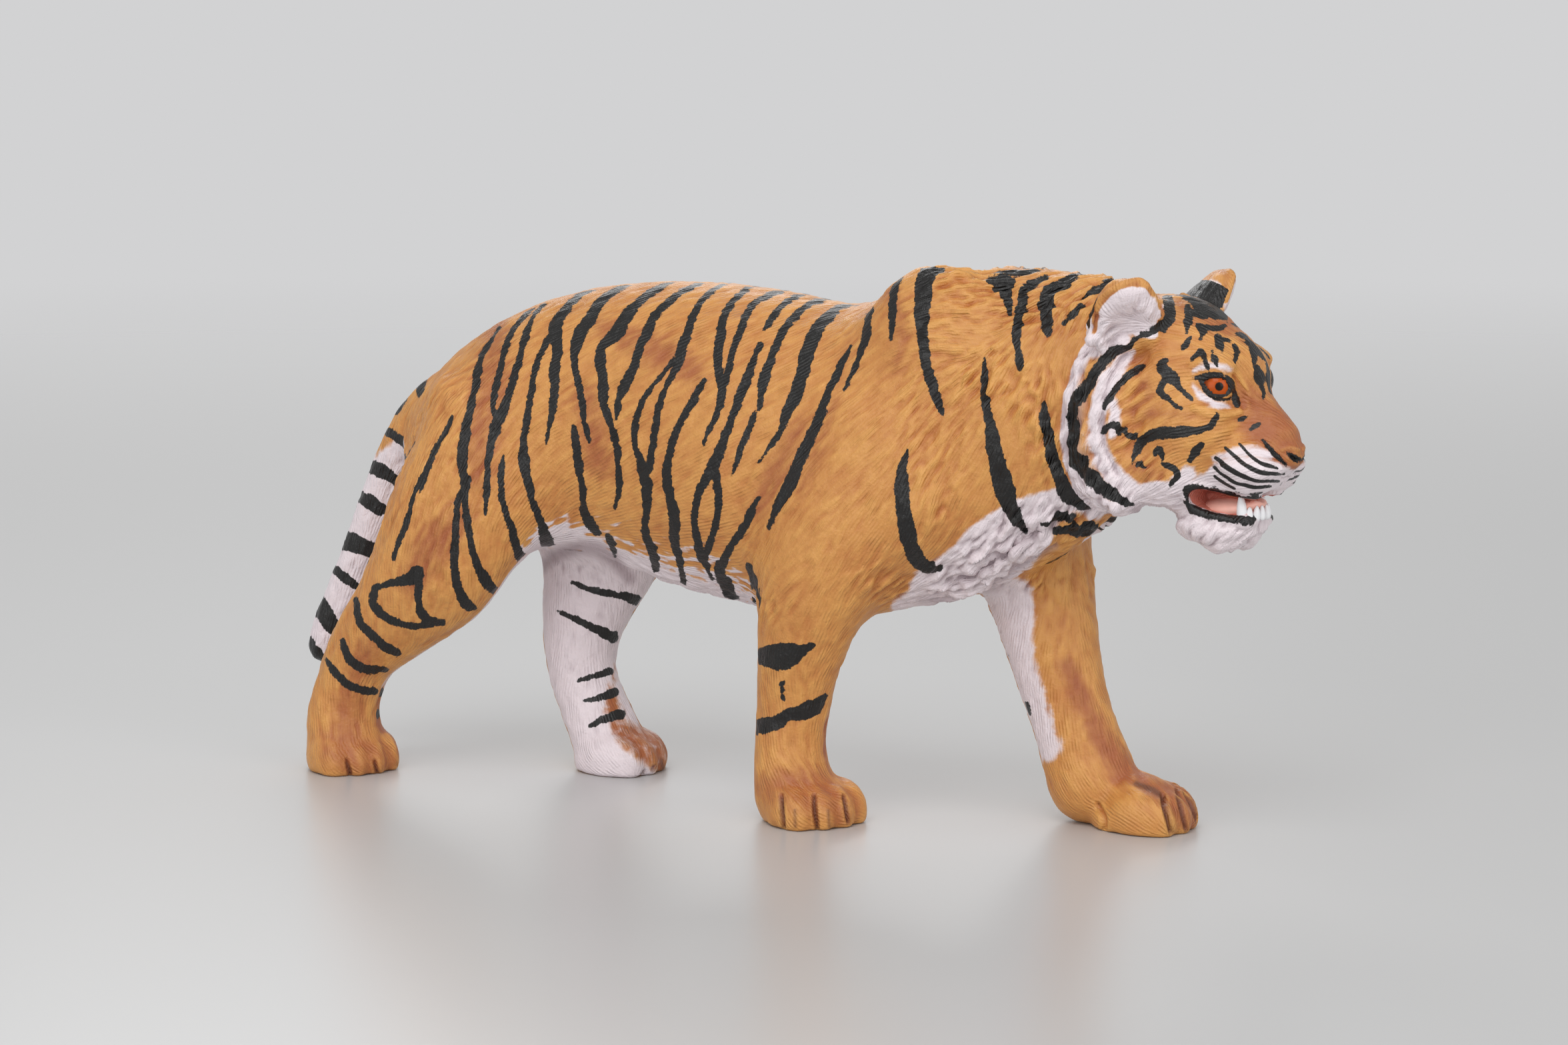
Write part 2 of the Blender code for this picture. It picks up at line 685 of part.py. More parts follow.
def main():
    """Builds the figure."""
    clear_scene()
    collection = new_collection("Tiger figure")
    parts = [body(collection), *paws(collection), head(collection)]
    figure = fused(FIGURE_NAME, parts, SKIN_VOXEL, collection, SKIN_ROUNDING)
    fill_creases(figure, SKIN_FILLING)
    thinned(figure)
    flat_soles(figure)
    centre_on_ground(figure)
    figure.data.materials.append(painted_plastic())
    figure.data.shade_smooth()


main()
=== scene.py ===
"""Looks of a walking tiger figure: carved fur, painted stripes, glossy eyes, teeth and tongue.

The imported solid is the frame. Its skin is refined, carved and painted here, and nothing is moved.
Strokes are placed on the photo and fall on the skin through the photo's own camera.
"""

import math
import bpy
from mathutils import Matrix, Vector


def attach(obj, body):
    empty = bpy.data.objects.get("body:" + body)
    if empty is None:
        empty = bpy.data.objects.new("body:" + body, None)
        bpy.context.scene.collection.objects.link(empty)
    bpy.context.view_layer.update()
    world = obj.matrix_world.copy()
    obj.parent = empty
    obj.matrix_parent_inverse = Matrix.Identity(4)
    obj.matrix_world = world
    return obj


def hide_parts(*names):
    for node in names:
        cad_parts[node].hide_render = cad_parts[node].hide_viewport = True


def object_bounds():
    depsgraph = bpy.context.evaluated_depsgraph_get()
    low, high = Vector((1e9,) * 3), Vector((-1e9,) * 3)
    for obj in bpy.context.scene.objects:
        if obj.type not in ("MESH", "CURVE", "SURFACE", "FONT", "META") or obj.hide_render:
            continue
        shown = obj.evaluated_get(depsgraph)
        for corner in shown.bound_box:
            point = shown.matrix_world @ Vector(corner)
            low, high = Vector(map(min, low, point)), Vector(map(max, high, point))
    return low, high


bl_info = {
    "name": "Painted tiger figure",
    "version": (1, 0, 0),
    "blender": (4, 5, 0),
    "location": "3D View > Sidebar > Tiger",
    "description": "Carves and paints the fur of a moulded tiger figure",
    "category": "Object",
}

import bmesh
import bpy
import numpy as np
from bpy.props import FloatProperty, FloatVectorProperty, PointerProperty
from mathutils import Matrix, Vector
from mathutils.bvhtree import BVHTree

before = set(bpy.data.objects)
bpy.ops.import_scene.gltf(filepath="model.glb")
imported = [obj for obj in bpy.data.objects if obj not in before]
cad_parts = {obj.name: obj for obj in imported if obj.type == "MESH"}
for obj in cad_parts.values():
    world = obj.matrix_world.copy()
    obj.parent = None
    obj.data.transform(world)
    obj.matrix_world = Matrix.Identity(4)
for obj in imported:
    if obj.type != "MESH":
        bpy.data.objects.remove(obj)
CAD_LOW, CAD_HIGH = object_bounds()

MM = 0.001
NODE = "tiger_figure"
BODY = "root"

# Camera that took the photo: place in mm, turn in degrees, lens in mm on a 36 mm sensor
PHOTO_WIDTH, PHOTO_HEIGHT = 2352, 1568
CAMERA_PLACE = (223.58, -384.02, 87.6)
CAMERA_TURN = (83.0, 0.0, 30.0)
LENS = 88.2
SENSOR = 36.0

# The head's own frame: its middle measured back from the nose tip and down from the ear tips
HEAD_BACK = 14.35
HEAD_ASIDE = 0.08
HEAD_DOWN = 14.86
HEAD_TURN = -5.0
HEAD_PLACE = Vector((CAD_HIGH.x / MM - HEAD_BACK, HEAD_ASIDE, CAD_HIGH.z / MM - HEAD_DOWN))
HEAD_FRAME = Matrix.Translation(HEAD_PLACE) @ Matrix.Rotation(math.radians(HEAD_TURN), 4, "Z")

# How far the left legs stand ahead of the right ones: height and distance, in mm
FORELEG_LEAD = ((3.1, 30.2), (11.6, 27.7), (18.1, 24.6), (25.1, 20.6), (31.1, 16.6), (45.1, 5.0), (54, 0))
HIND_LEG_LEAD = ((3.1, 28.2), (10.7, 23.8), (15, 21.1), (21.1, 17.2), (28.1, 13.6), (44.1, 4.2), (52, 0))
# Middle line of each right leg at those heights
FORELEG_LINE = ((3.1, 7.9), (18.1, 8.5), (31.1, 12.5), (45.1, 19.5), (54, 22))
HIND_LEG_LINE = ((3.1, -55.7), (15, -52.9), (28.1, -42.5), (44.1, -35.1), (52, -33))
LEG_REACH = (11.0, 20.0)

# Black stripes of the body, from their upper end: x, y and width in the photo's pixels
BODY_STRIPES = {
    "arm_1": ((1563, 785, 5), (1589, 778, 10), (1611, 773, 7)),
    "arm_2": ((1583, 797, 7), (1605, 796, 14), (1622, 796, 16), (1640, 792, 14)),
    "shoulder": (
        (1402, 398, 26), (1387, 422, 22), (1384, 452, 20), (1382, 478, 18), (1385, 507, 14),
        (1388, 543, 12), (1397, 572, 13), (1406, 602, 10), (1415, 623, 4),
    ),
    "withers": ((1351, 419, 6), (1341, 435, 9), (1339, 461, 10), (1338, 487, 8), (1336, 509, 4)),
    "elbow": (
        (1362, 674, 4), (1354, 700, 12), (1352, 726, 17), (1354, 755, 18), (1358, 781, 20),
        (1364, 811, 20), (1374, 837, 20), (1390, 850, 16), (1411, 853, 6),
    ),
    "neck": (
        (1477, 537, 3), (1476, 566, 7), (1477, 598, 10), (1483, 625, 12), (1488, 654, 17),
        (1493, 680, 20), (1501, 713, 24), (1508, 739, 24), (1519, 768, 18), (1540, 804, 4),
    ),
    "throat": (
        (1566, 605, 4), (1566, 628, 12), (1573, 657, 14), (1580, 690, 16), (1593, 716, 20),
        (1602, 739, 24), (1619, 755, 16), (1635, 762, 8),
    ),
    "nape_bar": ((1484, 422, 10), (1500, 424, 17), (1514, 422, 14)),
    "nape_bar_drop": ((1507, 430, 16), (1508, 440, 14), (1512, 455, 9), (1514, 468, 5)),
    "nape_crest": ((1491, 414, 5), (1521, 409, 7), (1544, 404, 6), (1570, 401, 6), (1582, 401, 3)),
    "nape_1": (
        (1570, 415, 6), (1550, 424, 10), (1537, 439, 12), (1532, 458, 12), (1527, 484, 12),
        (1524, 501, 12), (1527, 523, 9), (1530, 546, 12), (1533, 556, 4),
    ),
    "nape_2": (
        (1640, 412, 5), (1621, 412, 11), (1602, 422, 12), (1583, 432, 16), (1573, 442, 20),
        (1570, 465, 16), (1570, 491, 14), (1570, 499, 8),
    ),
    "nape_2_nub": ((1568, 458, 8), (1558, 457, 5)),
    "nape_3": ((1684, 419, 8), (1655, 429, 9), (1638, 439, 8), (1622, 450, 5)),
    "nape_4": ((1622, 461, 8), (1609, 474, 9), (1596, 484, 5)),
    "nape_tip": ((1594, 400, 4), (1602, 401, 6), (1611, 403, 4)),
    "flank_1": (
        (1276, 520, 4), (1263, 546, 9), (1247, 579, 10), (1237, 605, 11), (1224, 638, 13),
        (1207, 674, 14), (1194, 703, 15), (1184, 729, 16), (1168, 755, 12), (1153, 791, 5),
    ),
    "flank_2": (
        (1309, 452, 6), (1307, 463, 7), (1302, 481, 9), (1299, 501, 10), (1292, 527, 9),
        (1282, 553, 7), (1266, 585, 3),
    ),
    "flank_3": (
        (1290, 455, 4), (1276, 456, 6), (1256, 463, 8), (1240, 478, 14), (1224, 497, 17),
        (1211, 530, 17), (1204, 559, 16), (1194, 592, 16), (1181, 618, 14), (1171, 647, 8),
        (1155, 670, 7), (1139, 693, 3),
    ),
    "flank_3_nub": ((1210, 528, 14), (1202, 530, 6)),
    "flank_4": (
        (1240, 449, 4), (1233, 450, 6), (1211, 458, 8), (1194, 474, 9), (1178, 491, 10),
        (1165, 517, 10), (1155, 543, 11), (1145, 572, 13), (1139, 615, 5),
    ),
    "flank_4_lower": ((1132, 622, 8), (1128, 632, 8), (1119, 654, 8), (1109, 680, 7), (1099, 713, 3)),
    "flank_5": (
        (1212, 440, 4), (1207, 441, 5), (1188, 448, 7), (1168, 465, 8), (1155, 481, 8), (1147, 494, 4),
    ),
    "flank_6": (
        (1140, 518, 8), (1129, 546, 10), (1118, 574, 13), (1103, 614, 10), (1090, 650, 10),
        (1076, 684, 14), (1060, 716, 12), (1048, 740, 10), (1042, 772, 9), (1044, 804, 9),
        (1052, 838, 10),
    ),
    "flank_6_loop": ((1074, 712, 9), (1078, 748, 10), (1074, 784, 8), (1064, 816, 8), (1056, 840, 9)),
    "flank_7": (
        (1184, 433, 4), (1178, 434, 5), (1155, 442, 7), (1132, 455, 8), (1119, 474, 10),
        (1109, 501, 10), (1099, 527, 8), (1090, 566, 8), (1083, 592, 7),
    ),
    "flank_8": (
        (1140, 425, 4), (1124, 431, 6), (1100, 452, 8), (1086, 476, 10), (1080, 508, 12),
        (1076, 540, 10), (1080, 568, 9), (1082, 592, 9), (1076, 620, 8), (1060, 652, 6),
        (1056, 668, 3),
    ),
    "flank_9": (
        (1056, 570, 6), (1040, 600, 10), (1024, 628, 9), (1012, 652, 9), (1004, 684, 10),
        (1000, 716, 12), (1006, 748, 12), (1012, 780, 15), (1012, 812, 12), (1020, 844, 8),
        (1028, 888, 8),
    ),
    "flank_10": (
        (1092, 422, 4), (1060, 444, 8), (1040, 472, 9), (1032, 500, 11), (1024, 520, 14),
        (1016, 548, 10), (1000, 580, 8), (988, 612, 8), (982, 644, 8), (978, 676, 9),
        (974, 704, 12),
    ),
    "flank_10_fork": (
        (1012, 540, 8), (992, 564, 6), (972, 588, 7), (958, 616, 8), (952, 644, 8),
        (954, 672, 8), (964, 700, 13), (970, 732, 15), (970, 764, 10), (968, 800, 9),
        (980, 832, 12), (984, 854, 8),
    ),
    "flank_11": (
        (1056, 422, 4), (1020, 440, 8), (1000, 456, 9), (980, 476, 10), (972, 496, 12),
        (960, 520, 12), (952, 548, 11), (940, 572, 13), (928, 600, 8), (924, 628, 4),
    ),
    "flank_12": (
        (1012, 422, 4), (980, 436, 8), (956, 456, 11), (940, 476, 17), (924, 500, 17),
        (904, 520, 12), (900, 540, 13), (904, 564, 13), (904, 592, 12), (909, 620, 9),
        (920, 648, 9), (926, 676, 9), (928, 708, 8), (928, 740, 7), (922, 764, 3),
    ),
    "flank_13": (
        (952, 423, 4), (916, 440, 9), (896, 460, 13), (884, 480, 15), (868, 504, 15),
        (862, 532, 10), (864, 560, 8), (872, 596, 8), (876, 628, 8), (884, 662, 4),
    ),
    "flank_13_lower": (
        (860, 640, 6), (864, 668, 10), (868, 700, 10), (874, 732, 8), (876, 764, 9),
        (884, 784, 14), (896, 800, 8),
    ),
    "flank_14": (
        (892, 432, 4), (868, 444, 8), (852, 460, 9), (838, 480, 15), (832, 500, 17),
        (836, 524, 12), (832, 556, 13), (832, 580, 12), (828, 620, 9), (819, 666, 3),
    ),
    "flank_14_fork": (
        (826, 502, 8), (816, 520, 7), (804, 552, 8), (798, 584, 8), (792, 620, 9),
        (786, 660, 9), (786, 692, 13), (792, 724, 11), (800, 756, 9), (812, 784, 10),
        (820, 812, 17), (829, 832, 11),
    ),
    "haunch_1": (
        (822, 448, 4), (812, 460, 5), (800, 476, 6), (788, 504, 8), (780, 536, 8), (772, 564, 10),
        (764, 592, 10), (752, 620, 14), (744, 640, 14), (736, 668, 10), (732, 700, 8),
        (730, 740, 8), (728, 772, 3),
    ),
    "haunch_2": (
        (806, 455, 3), (792, 468, 5), (772, 492, 7), (760, 516, 8), (752, 548, 8), (744, 580, 8),
        (740, 606, 8), (744, 628, 8),
    ),
    "haunch_3": (
        (756, 684, 3), (752, 708, 8), (752, 740, 9), (758, 768, 8), (768, 796, 10),
        (776, 824, 12), (788, 848, 14), (800, 857, 7),
    ),
    "haunch_4": (
        (750, 490, 3), (736, 512, 5), (724, 532, 7), (716, 560, 9), (712, 588, 9),
        (704, 620, 10), (696, 660, 13), (694, 692, 13), (698, 724, 12), (698, 750, 10),
        (702, 788, 9), (708, 820, 10), (717, 852, 9), (732, 876, 14), (750, 892, 8),
    ),
    "haunch_5": (
        (696, 730, 6), (688, 748, 8), (684, 780, 8), (682, 820, 9), (682, 852, 10),
        (688, 884, 12), (700, 906, 14), (712, 912, 7),
    ),
    "haunch_6": (
        (678, 624, 3), (672, 640, 5), (660, 662, 7), (648, 686, 8), (640, 710, 6), (630, 740, 4),
    ),
    "haunch_7": (
        (654, 676, 3), (640, 700, 5), (628, 726, 6), (620, 748, 7), (612, 776, 7), (601, 806, 8),
        (590, 838, 5),
    ),
    "hock_loop_top": ((624, 854, 10), (618, 866, 16), (600, 872, 12), (580, 876, 8), (563, 883, 10)),
    "hock_loop_side": ((629, 856, 10), (628, 883, 10), (629, 908, 10), (638, 927, 12), (664, 935, 7)),
    "hock_loop_foot": (
        (563, 883, 10), (560, 905, 11), (570, 920, 10), (592, 933, 9), (616, 939, 9),
        (636, 938, 9), (660, 934, 7),
    ),
    "hock_1": (
        (534, 900, 7), (538, 928, 10), (546, 942, 10), (564, 958, 11), (579, 972, 11), (597, 980, 8),
    ),
    "hock_2": ((513, 962, 7), (520, 982, 10), (533, 998, 10), (554, 1005, 11), (578, 1004, 7)),
    "hock_3": ((490, 990, 6), (501, 1007, 9), (520, 1025, 10), (542, 1035, 11), (562, 1037, 9)),
    "foreleg_1": ((1140, 985, 20), (1160, 985, 30), (1176, 985, 34), (1196, 978, 20), (1218, 969, 8)),
    "foreleg_2": (
        (1132, 1091, 20), (1161, 1086, 18), (1180, 1073, 16), (1198, 1070, 18), (1216, 1064, 22),
        (1228, 1055, 14), (1239, 1044, 5),
    ),
    "foreleg_tick_1": ((1177, 1022, 4), (1171, 1028, 6), (1173, 1036, 5)),
    "foreleg_tick_2": ((1173, 1044, 3), (1176, 1051, 2)),
    "belly_1": (
        (1137, 747, 4), (1126, 768, 9), (1117, 791, 11), (1100, 814, 9), (1087, 837, 11),
        (1080, 858, 14), (1092, 884, 15), (1102, 908, 15), (1106, 926, 12),
    ),
    "belly_2": ((1122, 848, 6), (1131, 872, 9), (1135, 905, 8), (1136, 925, 6)),
    "belly_3": ((1052, 836, 8), (1060, 850, 7), (1068, 868, 4)),
    "belly_4": ((967, 872, 6), (980, 888, 5)),
    "belly_5": ((913, 806, 9), (920, 822, 8), (923, 836, 3)),
}

# Black marks that the camera sees on the far legs, which are the inner faces of the legs
INNER_STRIPES = {
    "far_hock_1": ((858, 874, 4), (880, 883, 7), (905, 889, 8), (933, 894, 9), (955, 900, 14)),
    "far_hock_2": ((837, 917, 4), (865, 930, 8), (890, 942, 9), (919, 956, 15)),
    "far_hock_3": ((868, 1021, 4), (890, 1015, 7), (914, 1007, 10)),
    "far_hock_4": ((877, 1051, 4), (896, 1048, 8), (922, 1038, 11)),
    "far_hock_5": ((886, 1088, 5), (908, 1079, 10), (930, 1072, 13)),
    "far_elbow": ((1470, 870, 12), (1473, 884, 12), (1471, 898, 8)),
    "far_spot_1": ((1498, 976, 7), (1503, 984, 13), (1504, 992, 5)),
    "far_spot_2": ((1539, 1057, 6), (1542, 1063, 10), (1545, 1070, 5)),
}

# Black rings and marks of the tail
TAIL_STRIPES = {
    "tail_root_1": ((640, 560, 6), (632, 574, 10), (632, 590, 11), (645, 602, 9)),
    "tail_root_2": ((606, 596, 8), (600, 608, 9), (594, 620, 5)),
    "ring_1": ((576, 644, 10), (588, 652, 12), (602, 662, 10), (614, 673, 8)),
    "ring_2": ((552, 698, 18), (570, 706, 17), (588, 717, 13), (608, 733, 11)),
    "ring_3": ((536, 742, 14), (552, 752, 17), (570, 764, 16)),
    "ring_4": ((516, 810, 24), (536, 817, 22), (552, 823, 20), (566, 828, 14)),
    "ring_5": ((500, 852, 9), (512, 862, 12), (524, 872, 12), (534, 878, 9)),
    "ring_6": ((478, 905, 20), (488, 922, 22), (498, 938, 20), (508, 948, 14)),
    "ring_7": ((464, 964, 14), (474, 980, 16), (484, 992, 14)),
}

# Black marks of the head, the same on both sides
HEAD_STRIPES = {
    "ruff": (
        (1750, 440, 10), (1752, 452, 17), (1756, 472, 16), (1748, 485, 14), (1730, 495, 10),
        (1706, 503, 8), (1691, 516, 11), (1674, 526, 15), (1657, 540, 16), (1645, 559, 16),
        (1633, 578, 17), (1620, 598, 16), (1612, 618, 15), (1609, 642, 14), (1612, 666, 17),
        (1621, 690, 20), (1634, 710, 20), (1650, 728, 19), (1669, 741, 16), (1686, 753, 12),
        (1700, 758, 4),
    ),
    "ruff_nub": ((1738, 490, 8), (1746, 497, 6)),
    "cheek": (
        (1713, 549, 8), (1706, 554, 10), (1696, 562, 11), (1679, 576, 8), (1667, 592, 10),
        (1656, 609, 9), (1657, 614, 5),
    ),
    "temple": (
        (1748, 540, 6), (1742, 550, 14), (1750, 560, 20), (1760, 569, 18), (1768, 580, 9),
        (1777, 590, 7), (1788, 598, 5),
    ),
    "temple_fork": (
        (1750, 566, 10), (1741, 582, 12), (1742, 590, 11), (1752, 598, 7), (1761, 608, 6),
        (1772, 613, 4),
    ),
    "cheek_bar": (
        (1824, 623, 6), (1820, 632, 11), (1814, 639, 11), (1797, 646, 11), (1781, 648, 14),
        (1766, 649, 17), (1750, 649, 18), (1734, 650, 17), (1719, 657, 15), (1709, 666, 14),
        (1703, 680, 9), (1699, 697, 3),
    ),
    "hook": ((1654, 650, 6), (1658, 643, 9), (1667, 637, 10), (1676, 640, 13), (1679, 651, 7)),
    "hook_tip": ((1688, 642, 4), (1690, 652, 8), (1698, 655, 8), (1705, 652, 4)),
    "spot_1": ((1733, 680, 8), (1738, 676, 12), (1745, 688, 5)),
    "spot_2": ((1705, 699, 5), (1710, 695, 9), (1714, 700, 6)),
    "spot_3": ((1802, 667, 9), (1794, 677, 12), (1785, 690, 8)),
    "spot_4": ((1859, 630, 6), (1865, 627, 7), (1872, 624, 3)),
    "spot_5": ((1877, 644, 5), (1883, 640, 7), (1889, 636, 5)),
    "curl": (
        (1744, 696, 7), (1755, 700, 8), (1764, 707, 10), (1765, 714, 10), (1758, 724, 8), (1753, 733, 3),
    ),
    "crown": (
        (1749, 437, 6), (1765, 440, 9), (1780, 445, 11), (1795, 455, 13), (1812, 466, 16),
        (1830, 473, 14), (1845, 476, 4),
    ),
    "crown_drop": ((1781, 459, 8), (1783, 470, 14), (1782, 484, 13), (1780, 500, 4)),
    "crown_bar": ((1786, 470, 14), (1800, 471, 14), (1818, 471, 10)),
    "far_crown": ((1800, 447, 4), (1818, 450, 10), (1828, 458, 12), (1832, 466, 9)),
    "brow_1": ((1798, 489, 10), (1804, 496, 15), (1801, 508, 4)),
    "brow_1_bar": ((1808, 492, 9), (1824, 493, 8), (1837, 489, 5)),
    "brow_2": ((1786, 506, 5), (1779, 517, 9), (1774, 525, 4)),
    "brow_3": ((1826, 504, 7), (1829, 514, 14), (1833, 529, 4)),
    "brow_3_bar": ((1834, 510, 8), (1851, 513, 4)),
    "brow_4": ((1852, 519, 7), (1855, 530, 10), (1852, 543, 4)),
    "brow_5": ((1788, 540, 5), (1794, 533, 8), (1801, 527, 9), (1807, 537, 8), (1811, 552, 4)),
    "brow_6": ((1818, 527, 5), (1821, 538, 9), (1826, 549, 4)),
    "brow_7": ((1843, 482, 4), (1855, 485, 5), (1866, 491, 2)),
    "brow_8": ((1855, 501, 5), (1868, 507, 8), (1880, 519, 11), (1895, 530, 5)),
    "brow_8_drop": ((1878, 522, 10), (1881, 536, 10), (1881, 548, 5)),
    "brow_9": ((1884, 551, 10), (1889, 565, 15), (1893, 580, 8), (1896, 596, 4)),
    "brow_10": ((1900, 523, 4), (1907, 538, 6), (1911, 550, 4)),
    "lid_upper": (
        (1786, 567, 3), (1799, 567, 6), (1813, 563, 6), (1829, 562, 6), (1840, 566, 7),
        (1847, 579, 9), (1853, 596, 12), (1857, 606, 8),
    ),
    "lid_lower": ((1800, 571, 5), (1808, 586, 5), (1820, 596, 5), (1832, 599, 5), (1843, 596, 8)),
    "nose_side": ((1894, 661, 3), (1904, 672, 7), (1918, 687, 8), (1929, 698, 3)),
    "nostril": ((1932, 680, 5), (1943, 688, 10), (1952, 691, 8)),
    "nose_under": ((1918, 732, 6), (1932, 723, 12), (1944, 713, 15), (1951, 702, 11)),
    "lip_upper": (
        (1778, 744, 8), (1780, 735, 9), (1787, 730, 9), (1802, 729, 8), (1822, 732, 6),
        (1850, 741, 6), (1875, 744, 6), (1897, 743, 4),
    ),
    "lip_lower": (
        (1778, 744, 8), (1780, 753, 9), (1788, 761, 8), (1802, 768, 8), (1826, 775, 9),
        (1852, 777, 9), (1870, 776, 8), (1885, 772, 5),
    ),
}

# Whisker lines of the lip pad, painted thin and black
WHISKER_LINES = {
    "whiskers_1": ((1859, 666, 3), (1875, 683, 4), (1892, 697, 5), (1911, 702, 3)),
    "whiskers_2": ((1838, 672, 4), (1855, 687, 5), (1872, 700, 5), (1894, 709, 5), (1926, 711, 3)),
    "whiskers_3": ((1823, 687, 5), (1843, 700, 6), (1863, 712, 6), (1887, 721, 5), (1918, 722, 3)),
    "whiskers_4": ((1821, 701, 4), (1838, 714, 5), (1855, 724, 5), (1880, 731, 5), (1906, 730, 3)),
    "whiskers_5": ((1822, 714, 3), (1835, 724, 4), (1852, 733, 3)),
}

# The tail's middle line seen from the side: x, z and width in mm
TAIL_LINE = (
    (-47.0, 45.5, 6.0), (-52.4, 40.0, 6.4), (-54.9, 35.0, 6.4), (-57.2, 30.0, 6.4), (-59.4, 25.0, 6.4),
    (-61.7, 20.0, 6.4), (-64.4, 14.0, 6.4),
)

# Stripes across the back of the haunches and hind legs, seen from behind: y, z and width in mm
REAR_STRIPES = {
    "rear_1": ((-9.5, 41.0, 0.7), (-7.5, 39.5, 1.0), (-5.0, 38.6, 0.8), (-3.2, 38.4, 0.3)),
    "rear_2": ((-10.5, 36.0, 0.8), (-8.5, 34.6, 1.1), (-6.0, 33.8, 0.9), (-3.6, 33.4, 0.3)),
    "rear_3": ((-11.0, 31.0, 0.7), (-9.0, 29.8, 1.0), (-6.4, 29.0, 0.9), (-4.0, 28.8, 0.3)),
    "rear_4": ((-11.0, 26.4, 0.6), (-9.0, 25.4, 0.9), (-6.6, 24.8, 0.8), (-4.6, 24.6, 0.3)),
    "rear_5": ((-10.8, 20.6, 0.6), (-8.8, 20.0, 0.9), (-6.8, 19.8, 0.6)),
}

# Pinkish white paint on the body, laid with a soft brush: x, y and width in the photo's pixels
BODY_WHITE = {
    "belly": (
        (846, 866, 20), (880, 852, 40), (920, 856, 56), (960, 866, 56), (1010, 882, 44), (1060, 896, 44),
        (1100, 904, 36),
    ),
    "elbow": ((1346, 910, 16), (1374, 904, 40), (1400, 896, 70)),
    "chest": (
        (1400, 885, 70), (1450, 862, 90), (1500, 822, 100), (1540, 788, 80), (1585, 756, 44),
        (1622, 748, 34),
    ),
    "neck_side": ((1602, 650, 10), (1610, 690, 18), (1625, 725, 28), (1640, 760, 40)),
}

# White of the tail, from its root down
TAIL_WHITE = {
    "tail": (
        (606, 690, 60), (582, 730, 90), (562, 780, 90), (542, 830, 90), (520, 880, 90), (496, 940, 80),
        (476, 1000, 80),
    ),
}

# White of the head: ruff, brow, lip pad, chin and ears
HEAD_WHITE = {
    "ruff_edge": (
        (1650, 470, 20), (1630, 510, 30), (1610, 560, 30), (1600, 610, 28), (1598, 660, 28),
        (1606, 700, 30), (1630, 742, 36), (1665, 768, 36), (1700, 772, 30),
    ),
    "ruff_inside": (
        (1700, 526, 8), (1684, 541, 18), (1668, 566, 28), (1652, 600, 26), (1644, 640, 24),
        (1650, 680, 28), (1672, 716, 30), (1700, 738, 28),
    ),
    "throat": ((1695, 742, 26), (1730, 752, 34), (1765, 762, 44)),
    "brow": ((1790, 556, 4), (1808, 550, 8), (1832, 549, 7), (1846, 555, 3)),
    "under_eye": ((1790, 580, 4), (1802, 594, 9), (1822, 606, 10), (1842, 610, 5)),
    "lip_pad": ((1812, 716, 12), (1838, 706, 36), (1868, 708, 48), (1900, 712, 40), (1930, 712, 20)),
    "lip_pad_top": ((1822, 690, 8), (1850, 680, 12), (1880, 678, 14), (1905, 684, 10)),
    "mouth_corner": ((1782, 712, 22), (1768, 732, 30), (1764, 756, 40)),
    "chin": ((1775, 770, 46), (1800, 792, 60), (1832, 802, 70), (1862, 798, 70), (1885, 785, 40)),
    "chin_top": ((1790, 772, 20), (1840, 784, 24), (1890, 778, 20)),
    "ear": ((1660, 492, 34), (1672, 466, 50), (1694, 448, 44), (1714, 446, 30), (1720, 462, 14)),
    "ear_low": ((1652, 500, 26), (1680, 486, 40), (1704, 478, 30)),
    "ear_base": ((1640, 522, 30), (1662, 510, 30), (1684, 500, 22)),
    "cheek": ((1664, 588, 8), (1672, 618, 14), (1668, 652, 12)),
}

# Painted shade: grey lilac in the creases of the groin and chest
BODY_SHADE = {
    "groin": (
        (806, 862, 10), (826, 840, 18), (858, 824, 20), (890, 822, 20), (918, 838, 20), (944, 868, 18),
    ),
    "chest_1": ((1424, 874, 5), (1460, 862, 8), (1504, 832, 8), (1562, 798, 5)),
    "chest_2": ((1476, 884, 5), (1528, 852, 8), (1582, 820, 5)),
    "chest_3": ((1380, 900, 5), (1440, 898, 8), (1500, 880, 5)),
}

# Painted shade: dark brown in the grooves between the toes
TOE_SHADE_LINES = {
    "near_1": ((1171, 1196, 4), (1172, 1212, 7), (1175, 1244, 6)),
    "near_2": ((1221, 1194, 4), (1222, 1212, 7), (1226, 1246, 6)),
    "near_3": ((1266, 1194, 4), (1268, 1208, 7), (1273, 1234, 6)),
    "near_4": ((1192, 1216, 3), (1193, 1240, 4)),
    "near_5": ((1242, 1216, 3), (1244, 1240, 4)),
    "hind_1": ((520, 1144, 4), (524, 1158, 7), (526, 1176, 5)),
    "hind_2": ((562, 1146, 4), (566, 1160, 7), (568, 1178, 5)),
    "hind_3": ((598, 1150, 4), (602, 1160, 6), (604, 1174, 4)),
}

# The same on the paws of the far legs
FAR_TOE_SHADE_LINES = {
    "far_1": ((1744, 1194, 5), (1748, 1212, 9), (1757, 1248, 8)),
    "far_2": ((1765, 1184, 4), (1770, 1206, 7), (1779, 1244, 6)),
    "far_3": ((1777, 1190, 5), (1788, 1208, 8), (1798, 1234, 7)),
    "far_4": ((1704, 1176, 8), (1730, 1186, 9), (1746, 1196, 6)),
    "far_hind_1": ((992, 1140, 4), (996, 1160, 7), (998, 1176, 5)),
    "far_hind_2": ((1020, 1136, 4), (1026, 1156, 6), (1028, 1170, 4)),
}

# Painted shade: grey lilac under the throat and behind the ruff
HEAD_SHADE = {
    "throat": ((1700, 764, 10), (1740, 768, 12), (1770, 782, 12)),
    "ruff": ((1624, 600, 6), (1618, 650, 8), (1632, 700, 8), (1660, 742, 8)),
}

